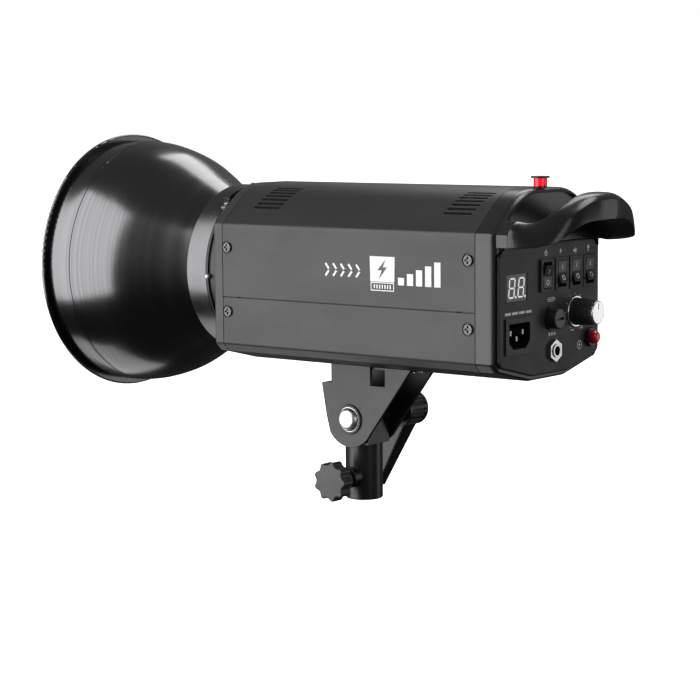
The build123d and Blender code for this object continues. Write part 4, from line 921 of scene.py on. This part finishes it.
def tube(points, radius, sides):
    """Round wire along points, in metres, closed at both ends."""
    mesh = bmesh.new()
    loops = []
    side = None
    for i, point in enumerate(points):
        along = (Vector(points[min(i + 1, len(points) - 1)]) - Vector(points[max(i - 1, 0)])).normalized()
        guess = side or along.orthogonal()
        side = (guess - along * guess.dot(along)).normalized()
        other = along.cross(side)
        loops.append([
            mesh.verts.new(Vector(point) + (side * math.cos(t) + other * math.sin(t)) * radius)
            for t in around(sides)
        ])
    skin(mesh, loops)
    mesh.faces.new(loops[0][::-1])
    mesh.faces.new(loops[-1])
    return mesh


def add_trigger_wire(metal):
    """Fine wire wound along the flash tube's ring, with a gap at the top of the ring."""
    centre_x = middle("flash_tube").x
    ring_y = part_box("flash_tube")[0].y + TUBE_BULGE_R * MM
    coil_r = (TUBE_BULGE_R + WIRE_LIFT) * MM
    points = []
    for i in range(WIRE_STEPS + 1):
        share = i / WIRE_STEPS
        angle = math.pi / 2 + WIRE_GAP + share * (2 * math.pi - 2 * WIRE_GAP)
        twist = 2 * math.pi * WIRE_TURNS * share
        reach = TUBE_RING_R * MM + coil_r * math.cos(twist)
        points.append((
            centre_x + reach * math.cos(angle),
            ring_y + coil_r * math.sin(twist),
            LIGHT_AXIS.z + reach * math.sin(angle),
        ))
    place_solid(tube(points, WIRE_R * MM, WIRE_SIDES), "trigger_wire", metal, "lamp")


def add_sensor(dark):
    """Light sensor standing inside the red dome."""
    centre = middle("photocell_lens")
    foot_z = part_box("photocell_lens")[0].z + SENSOR_FOOT * MM
    stem = Marks((centre.x, centre.y, foot_z), (1, 0, 0), (0, 1, 0), proud=SENSOR_TALL)
    stem.disc(0, 0, SENSOR_R)
    stem.finish("photocell_sensor", dark, "lamp", "black_moulding")


def add_lock_stud(metal):
    """Small domed stud on the side of the lock ring, turned from STUD_PROFILE's reaches and radii."""
    side_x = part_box("lock_ring")[1].x
    base = Vector((side_x - STUD_SUNK * MM, middle("lock_ring").y, LIGHT_AXIS.z - STUD_DROP * MM))
    mesh = bmesh.new()
    loops = [
        [
            mesh.verts.new(base + Vector((reach, radius * math.cos(t), radius * math.sin(t))) * MM)
            for t in around(STUD_STEPS)
        ]
        for reach, radius in STUD_PROFILE
    ]
    skin(mesh, loops)
    mesh.faces.new(loops[0])
    mesh.faces.new(loops[-1])
    place_solid(mesh, "lock_stud", metal, "lock")


def add_pieces():
    """Prints, pointer, trigger wire, stud and sensor, each with its own finish."""
    white = ink("ink_white", (0.86, 0.86, 0.85))
    dark = ink("ink_charcoal", (0.07, 0.07, 0.073))
    for side in (1, -1):
        print_side(side, white, dark)
    print_panel(white)
    print_rockers(white)
    mark_knob(dark)
    add_trigger_wire(bare_metal("wire_nickel", (0.7, 0.68, 0.62), 0.3))
    add_lock_stud(bare_metal("stud_polished", POLISHED, 0.3))
    add_sensor(moulding("sensor_black", (0.02, 0.004, 0.004), 0.3, 1200, 0.00001))


def build():
    """The studio, the finishes on the CAD nodes, and the pieces made here."""
    add_camera()
    add_world()
    add_floor()
    for softbox in SOFTBOXES:
        add_softbox(*softbox)
    finish_cad_nodes()
    add_pieces()


build()
bpy.context.scene.view_settings.view_transform = "Standard"
